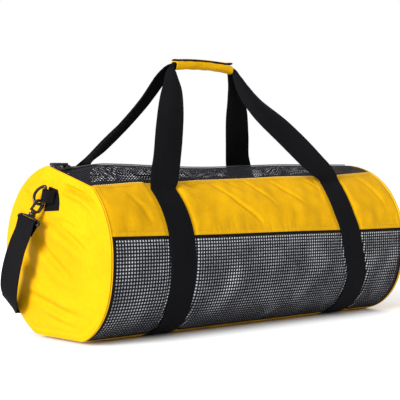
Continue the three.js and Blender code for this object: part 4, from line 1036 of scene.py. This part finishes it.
pull_z = slider_base + 7.2
oval = lambda a, b, n, cx: [(cx + a * math.cos(t), b * math.sin(t)) for t in np.linspace(0, 2 * math.pi, n, endpoint=False)]
ring_pts = [(x_, y_) for x_, y_ in oval(11.5, 6.6, 60, -20)]
ring_pts = [q for q in ring_pts if q[0] < -9.4]
upper = sorted([q for q in ring_pts if q[1] >= 0], key=lambda q: -q[0])
lower = sorted([q for q in ring_pts if q[1] < 0], key=lambda q: q[0])
neck = [(1.8, 2.0), (-6.5, 2.0)] + upper + lower + [(-6.5, -2.0), (1.8, -2.0)]
pull = placed(plate(neck, 4.8, 1.6, [list(reversed(oval(7, 3.2, 32, -21)))], 3), (PIVOT[0], 0, pull_z), (1, 0, 0), (0, 1, 0))
place_solid("zipper_pull_tab", pull, PULL, "zipper_black", ["zipper_pull"], ride="pull")

# ------------------------------------------------------------------ rings, tabs and hooks
LEAN, SIDE, SWIVEL = 33 * RAD, 11 * RAD, 14 * RAD
U = unit(np.array([-math.sin(LEAN), math.sin(SIDE), -math.cos(LEAN)]))
Y = np.array([0.0, 1, 0]) - U * U[1]
Y = unit(Y)
N = unit(np.cross(U, Y))
CROSS = np.array([-370.7, 14.2, 214.3])
RING = [(0.1, 240.2), (5.9, 214.4), (10.5, 213.4), (17, 213.4), (23.6, 215.3), (26.0, 221.8), (24.4, 229.0), (18.6, 235.0), (9.5, 239.6)]
ring_x = lambda y: -369.3 - (y - 1.5) * 0.14


def cap_x(side, y, z):
    turn = np.degrees(np.arctan2(z - RADIUS, -y))
    p = rim_point(side, turn, 0.2)
    return -cap_height(np.hypot(y, z - RADIUS) / np.hypot(p[..., 1], p[..., 2] - RADIUS))


def d_ring():
    c = np.array(RING)
    closed = np.vstack([c[-1], c, c[0], c[1]])
    pts = []
    for i in range(1, len(closed) - 2):
        p0, p1, p2, p3 = closed[i - 1:i + 3]
        n = max(2, int(np.linalg.norm(p2 - p1) / 1.6))
        for k in range(n):
            f = k / n
            h = 0.5 if i > 1 else 0.25
            m1, m2 = (p2 - p0) * 0.33, (p3 - p1) * 0.33
            if i == 1:
                m1, m2 = (p2 - p1) * 0.9, (p2 - p1) * 0.9
            pts.append((2 * f**3 - 3 * f * f + 1) * p1 + (f**3 - 2 * f * f + f) * m1 + (-2 * f**3 + 3 * f * f) * p2 + (f**3 - f * f) * m2)
    p = np.array([(ring_x(y), y, z) for y, z in pts])
    t = unit(np.roll(p, -1, 0) - np.roll(p, 1, 0))
    normal = unit(np.array([1, 0.14, 0.0]))
    s = unit(np.cross(t, normal))
    a = np.linspace(0, 2 * math.pi, 14, endpoint=False)
    rings = p[:, None] + 2.4 * (np.cos(a)[None, :, None] * s[:, None] + np.sin(a)[None, :, None] * normal)
    return tube(rings, closed=True)


def patch(side):
    a, b = np.linspace(0, 1, 15), np.linspace(0, 1, 19)
    near = lambda f: np.array([7.5 + 8 * f, 240.5 - 38.5 * f])
    far = lambda f: np.array([-13 - 8 * f, 236 - 32 * f])
    yz = np.array([[near(f) * (1 - h) + far(f) * h - np.array([3 * h * 4 * f * (1 - f), 0]) for f in b] for h in a])
    x_ = cap_x(side, yz[..., 0], yz[..., 1])
    grid = lambda out: np.stack([x_ - out, yz[..., 0], yz[..., 1]], -1)
    uv_ = np.concatenate([yz.reshape(-1, 2)] * 2)
    soft = np.minimum(np.minimum.outer(a, np.ones(len(b))), 1 - a[:, None])
    rim = np.minimum(np.minimum(a, 1 - a)[:, None] * 22, np.minimum(b, 1 - b)[None, :] * 36)
    groove = -0.35 * np.exp(-(((rim - 3.2) / 0.9) ** 2)) - 0.5 * (rim < 0.1)
    return shell(grid(0.45 + 1.55 + groove), grid(0.42)), uv_, (yz, x_, grid)


def ring_tab(side):
    ring_line = np.array([ring_x(0.8), 0.8, 237.2]), np.array([ring_x(5.4), 5.4, 217.2])
    axis = unit(ring_line[0] - ring_line[1])
    middle = (ring_line[0] + ring_line[1]) / 2
    out = np.array([-1.0, 0, 0])
    along = unit(np.cross(axis, out))
    if along[1] < 0:
        along = -along
    r = 2.4 + GAP + 0.85
    turn_round = [middle + out * r * math.sin(a) + along * r * math.cos(a) for a in (math.pi / 2 - math.pi * i / 6 for i in range(7))]
    end = middle - along * 16
    low_ = end.copy()
    low_[0] = float(cap_x(side, end[1], end[2])) - 0.45 - 1.5 - 0.9 - 0.85
    high = low_.copy()
    high[0] -= 2.1
    mid_low = middle - along * 8
    mid_low[0] = min(float(cap_x(side, mid_low[1], mid_low[2])) - 3.6, mid_low[0] + 1.6)
    mid_high = mid_low.copy()
    mid_high[0] -= 4.2
    rows_ = np.array([high, mid_high, *turn_round, mid_low, low_])
    d = spline(rows_, np.full((len(rows_), 2), [19.6, 1.5]), 0.9)
    (v, f), uv_, _ = ribbon(d[:, :3], np.broadcast_to(axis, (len(d), 3)), d[:, 3], d[:, 4], np.zeros(len(d)))
    return (v, f), uv_


HOOK = dict(half=8.7, slot=4.5, arc=2, slot_end=11.5, end=15.2, neck=3, neck_end=18.4, thick=6)
GATE_AT = dict(start=1.6, to=14.2, pivot=12.6, wide=3.4)
LOOP = dict(start=18.8, collar=6.5, collar_end=23, half=25.5, shoulder=27.5, hole=21, bar_top=30.4, bar=3.8, thick=4.4)


def hook_body():
    h, pts = HOOK, []

    def arc(cx, cy, r, a0, a1, n):
        for i in range(n + 1):
            a = (a0 + (a1 - a0) * i / n) * RAD
            pts.append((cx + r * math.cos(a), cy + r * math.sin(a)))

    arc(0, h["arc"], h["half"], 184, 360, 30)
    pts += [(h["half"], 8), (h["half"] - 0.2, h["slot_end"]), (h["half"] - 1.6, 13.6), (h["neck"] + 1.8, h["end"]), (h["neck"] + 0.2, 16.4), (h["neck"], h["neck_end"]),
            (-h["neck"], h["neck_end"]), (-h["neck"] - 0.2, 16.4), (-h["neck"] - 1.8, h["end"]), (-h["half"] + 0.8, h["end"]), (-h["half"], h["end"] - 0.4)]
    pts += [(-h["half"], GATE_AT["to"] + 0.4), (-h["slot"], GATE_AT["to"] + 0.4), (-h["slot"] + 1, h["slot_end"] + 1.0), (h["slot"] - 1.5, h["slot_end"] + 1), (h["slot"] - 0.3, h["slot_end"] - 0.4), (h["slot"], h["slot_end"] - 1.5)]
    arc(0, h["arc"], h["slot"], 360, 184, 24)
    body_ = placed(plate(pts, h["thick"], 1.35, (), 3), CROSS, N, U)
    barrel = lathe([(15.4, 3.6), (15.8, 4.8), (17.6, 4.8), (18.3, 4.2)], CROSS, U)
    return joined([body_, barrel])


def gate_body():
    w = GATE_AT["wide"] / 2
    mid = -(HOOK["half"] + HOOK["slot"]) / 2
    pts = rounded([(mid - w, 1.95), (mid + w, 1.95), (mid + w, 13.3), (mid + 0.9, 14.2), (mid - 0.9, 14.2), (mid - w, 13.3)], 1.0)
    blade = placed(plate(pts, 4.4, 1.0, (), 3), CROSS, N, U)
    pin = lathe([(-2.35, 1.1), (-2.3, 1.3), (2.3, 1.3), (2.35, 1.1)], CROSS + N * mid + U * GATE_AT["pivot"], Y, 14)
    knob = lathe([(1.4, 0.6), (1.65, 1.5), (2.3, 1.7), (2.6, 1.2)], CROSS + N * mid + U * 6.0, -N, 16)
    return joined([blade, pin, knob])


def loop_body():
    l = LOOP
    across = Y * math.cos(SWIVEL) - N * math.sin(SWIVEL)
    outer = [(-l["collar"] - 1, l["collar_end"] + 0.2), (-l["collar"] + 1.5, l["collar_end"] - 1.4), (l["collar"] - 1.5, l["collar_end"] - 1.4), (l["collar"] + 1, l["collar_end"] + 0.2),
             (l["half"] - 3, l["shoulder"] - 2), (l["half"], l["shoulder"] + 1), (l["half"], l["bar_top"] + l["bar"] - 2), (l["half"] - 2, l["bar_top"] + l["bar"]),
             (-l["half"] + 2, l["bar_top"] + l["bar"]), (-l["half"], l["bar_top"] + l["bar"] - 2), (-l["half"], l["shoulder"] + 1), (-l["half"] + 3, l["shoulder"] - 2)]
    hole = [(-l["hole"], l["bar_top"]), (l["hole"], l["bar_top"]), (l["hole"], l["shoulder"] + 0.6), (l["hole"] - 2, l["shoulder"] - 1.0), (-l["hole"] + 2, l["shoulder"] - 1.0), (-l["hole"], l["shoulder"] + 0.6)]
    frame_ = placed(plate(rounded(outer, 2.2), l["thick"], 1.2, [list(reversed(rounded(hole, 0.8)))], 3), CROSS, across, U)
    barrel = lathe([(18.85, 3.6), (19.1, 5.4), (20.0, 5.9), (21.6, 5.9), (22.8, 5.0), (24.2, 3.4)], CROSS, U)
    return joined([frame_, barrel]), across


def thread_line(points, normal, length, width, height, gap, lift=0.0):
    """Stitches along a line of points (n, 3) with a normal at each."""
    points, normal = np.asarray(points, float), np.asarray(normal, float)
    s = np.concatenate([[0], np.cumsum(np.linalg.norm(np.diff(points, axis=0), axis=1))])
    starts = np.arange(gap / 2, s[-1] - length, length + gap)
    parts_ = []
    for a in starts:
        at_ = lambda d, arr: np.array([np.interp(d, s, arr[:, k]) for k in range(3)])
        ends = at_(a, points), at_(a + length, points)
        n_ = unit(at_(a + length / 2, normal))
        d_ = unit(ends[1] - ends[0])
        w_ = np.cross(n_, d_)
        ring = []
        for f, k in ((0, 0.35), (0.22, 1.0), (0.78, 1.0), (1, 0.35)):
            c_ = ends[0] + (ends[1] - ends[0]) * f + n_ * (lift + height * (k - 0.6))
            ring.append([c_ + w_ * width / 2 * k, c_ + n_ * height * k, c_ - w_ * width / 2 * k, c_ - n_ * height * 0.8 * k])
        parts_.append(tube(np.array(ring)))
    return joined(parts_)


patches, tabs = {}, {}
for word, side in (("left", -1), ("right", 1)):
    flip = mirrored if side > 0 else lambda v, f: (v, f)
    ring = d_ring()
    place_solid("d_ring_" + word + "_wire", flip(*ring), METAL, "black_metal", ["d_ring_" + word])
    (pv, pf), puv, (yz, px_, grid) = patch(side)
    place_solid("ring_patch_" + word + "_cloth", flip(pv, pf), WEBBING, "webbing", ["ring_patch_" + word], puv)
    (tv, tf), tuv = ring_tab(side)
    place_solid("ring_tab_" + word + "_cloth", flip(tv, tf), WEBBING, "webbing", ["ring_tab_" + word], tuv)
    hv, hf = hook_body()
    place_solid("snap_hook_" + word + "_body", flip(hv, hf), METAL, "black_metal", ["snap_hook_" + word])
    gv, gf = gate_body()
    place_solid("snap_gate_" + word + "_blade", flip(gv, gf), METAL, "black_metal", ["snap_gate_" + word], ride="gate_" + word)
    (lv, lf), across = loop_body()
    place_solid("swivel_loop_" + word + "_frame", flip(lv, lf), METAL, "black_metal", ["swivel_loop_" + word])
    # a row of stitches just inside the patch's edge
    out_ = grid(0.45 + 1.55)
    path = np.concatenate([out_[2:-2, 1], out_[-3, 1:-1], out_[2:-2, -2][::-1]])
    st = thread_line(path, np.broadcast_to([-1.0, 0, 0], path.shape), 2.6, 0.8, 0.5, 1.2, 0.0)
    place_solid("ring_patch_" + word + "_stitches", flip(*st), DARK_THREAD, "webbing")

# ------------------------------------------------------------------ the shoulder strap, one length
STRAP = [
    (-394, 26, 170, 0.96, 0.24), (-394.6, 37, 149, 0.93, 0.37), (-394.5, 49, 122, 0.915, 0.40), (-392, 60, 98, 0.9, 0.43),
    (-388, 70, 76, 0.88, 0.46), (-381, 79, 60, 0.87, 0.48), (-373, 93, 53, 0.80, 0.55), (-362.5, 108, 51, 0.72, 0.66),
    (-353.5, 119, 49.5, 0.64, 0.76), (-342, 124, 48, 0.62, 0.78), (-322, 125, 45, 0.62, 0.78), (-295, 126, 38, 0.65, 0.76),
    (-260, 129, 25, 0.76, 0.65), (-225, 132, 11, 0.92, 0.40), (-192, 132, 2.6, 1, 0.08), (-155, 131, 1.3, 1, 0.0), (-50, 130, 1.3, 1, 0.0),
]
bar = CROSS + U * (LOOP["bar_top"] + LOOP["bar"] / 2)
face = unit(np.cross(U, across))
face = face if face[0] < 0 else -face
wrap_r = math.hypot(LOOP["bar"], LOOP["thick"]) / 2 + GAP + WEB / 2 + 0.35
rows_ = [(*(np.array(STRAP[0][:3]) + [2.6, 0.5, 0]), *across)]
for i in range(7):
    a = LEAN + math.pi * i / 6
    rows_.append((*(bar - face * wrap_r * math.cos(a) - U * wrap_r * math.sin(a)), *across))
for i, (x_, y_, z_, wy, wz) in enumerate(STRAP):
    near = math.exp(-((i - 3.2) / 2.6) ** 2) if i else 0
    rows_.append((x_ - 2.0 * near, y_ + 1.8 * near, z_, -0.24 * near if i else across[0] * 0.8, wy, wz))
right = [(-r[0], r[1], r[2], -r[3], r[4], r[5]) for r in reversed(rows_)]
half_rows, full = np.array(rows_), np.array(rows_ + right)
d = spline(full[:, :3], full[:, 3:], 3.0)
n = len(d)
strap, strap_uv, strap_length = ribbon(d[:, :3], d[:, 3:6], np.full(n, STRAP_WIDTH), np.full(n, WEB), np.zeros(n))
strap = (np.stack([strap[0][:, 0], strap[0][:, 1], np.maximum(strap[0][:, 2], 0.0)], -1), strap[1])
strap_uv = strap_uv * np.array([38 / 52, 1])
place_solid("shoulder_strap_web", strap, WEBBING, "webbing", ["shoulder_strap"], strap_uv)
print("lengths", round(front_length), round(back_length), round(strap_length))


# ------------------------------------------------------------------ stitches on the seams
def seam_stitches(name, x0, x1, turn_of, back, out, mat, slot, length=3.0, gap=1.5, width=0.75, height=0.45, skip=True):
    spans, xs_ = [], np.linspace(x0, x1, 460)
    turn = turn_of(xs_)
    turn = over(turn) if back else turn
    away = web_away(xs_, turn)
    keep_ = away > 1.0 if skip else np.ones(len(xs_), bool)
    runs = np.split(np.arange(len(xs_)), np.where(np.diff(keep_.astype(int)) != 0)[0] + 1)
    for r in runs:
        if keep_[r[0]] and len(r) > 4:
            spans.append(thread_line(surface(xs_[r], turn[r], out), normals(xs_[r], turn[r]), length, width, height, gap))
    return place_solid(name, joined(spans), mat, slot, angle=60)


for back in (False, True):
    word = "back" if back else "front"
    seam_stitches(f"band_{word}_low_stitches", -338, 338, lambda x: seam_low(x) + 2 / ARC + 8.3 / ARC, back, -0.2, THREAD, "yellow_fabric")
    seam_stitches(f"band_{word}_top_stitches", -338, 338, lambda x: seam_top(x) - 8.2 / ARC, back, 0.0, THREAD, "yellow_fabric")
    seam_stitches(f"top_seam_{word}_stitches", -340, 340, lambda x: seam_top(x) - 1.7 / ARC, back, 0.75, PALE_THREAD, "yellow_fabric", 2.6, 1.7)

# the webbing's two rows of stitches down each side
for side in ("left", "right"):
    parts = []
    top, low_end = {"left": (46, -229), "right": (51, -231)}[side]
    turn = np.linspace(top, low_end, 320)
    line = web_line(turn, side)
    keep_z = surface(line, turn, 2.1)[:, 2] > 3.0
    for off in (-22.5, 22.5):
        for r in np.split(np.arange(len(turn)), np.where(np.diff(keep_z.astype(int)) != 0)[0] + 1):
            if keep_z[r[0]] and len(r) > 4:
                parts.append(thread_line(surface(line[r] + off, turn[r], 2.12), normals(line[r] + off, turn[r]), 3.0, 0.8, 0.4, 1.4))
    place_solid(f"webbing_{side}_stitches", joined(parts), DARK_THREAD, "webbing", angle=60)

# ------------------------------------------------------------------ floor, light and camera
floor_mesh = bpy.data.meshes.new("floor")
floor_mesh.from_pydata([(-9, -9, -0.0006), (9, -9, -0.0006), (9, 9, -0.0006), (-9, 9, -0.0006)], [], [(0, 1, 2, 3)])
floor = bpy.data.objects.new("floor", floor_mesh)
bpy.context.scene.collection.objects.link(floor)
floor_mat, floor_nt, floor_bsdf = principled("floor")
floor_nt.links.new(ramp(floor_nt, object_noise(floor_nt, 3.0), [(0.3, (0.94, 0.94, 0.94)), (0.7, (0.96, 0.96, 0.96))]), floor_bsdf.inputs["Base Color"])
floor_bsdf.inputs["Roughness"].default_value = 0.9
floor_bsdf.inputs["Specular IOR Level"].default_value = 0.1
floor_mesh.materials.append(floor_mat)

world = bpy.context.scene.world or bpy.data.worlds.new("World")
bpy.context.scene.world = world
world.use_nodes = True
world.node_tree.nodes["Background"].inputs[0].default_value = (1.0, 1.0, 1.0, 1)
world.node_tree.nodes["Background"].inputs[1].default_value = 1.0


def sun(name, towards, strength, angle, colour=(1, 1, 1)):
    data = bpy.data.lights.new(name, "SUN")
    data.energy, data.angle, data.color = strength, angle, colour
    ob = bpy.data.objects.new(name, data)
    ob.rotation_mode = "QUATERNION"
    ob.rotation_quaternion = Vector(towards).normalized().to_track_quat("Z", "Y")
    bpy.context.scene.collection.objects.link(ob)


sun("key", (-0.92, -0.13, 0.30), 6.3, 0.5)

bpy.context.scene.view_settings.view_transform = "Standard"
bpy.context.scene.view_settings.look = "None"

camera_data = bpy.data.cameras.new("camera")
camera_data.lens, camera_data.sensor_width = 105.62, 36.0
camera_data.clip_start, camera_data.clip_end = 0.05, 100
camera = bpy.data.objects.new("camera", camera_data)
camera.location = (-1.4256, -1.4867, 0.2658)
forward = Vector((0.6804, 0.7324, -0.0253)).normalized()
camera.rotation_mode = "QUATERNION"
camera.rotation_quaternion = forward.to_track_quat("-Z", "Y")
bpy.context.scene.collection.objects.link(camera)
bpy.context.scene.camera = camera
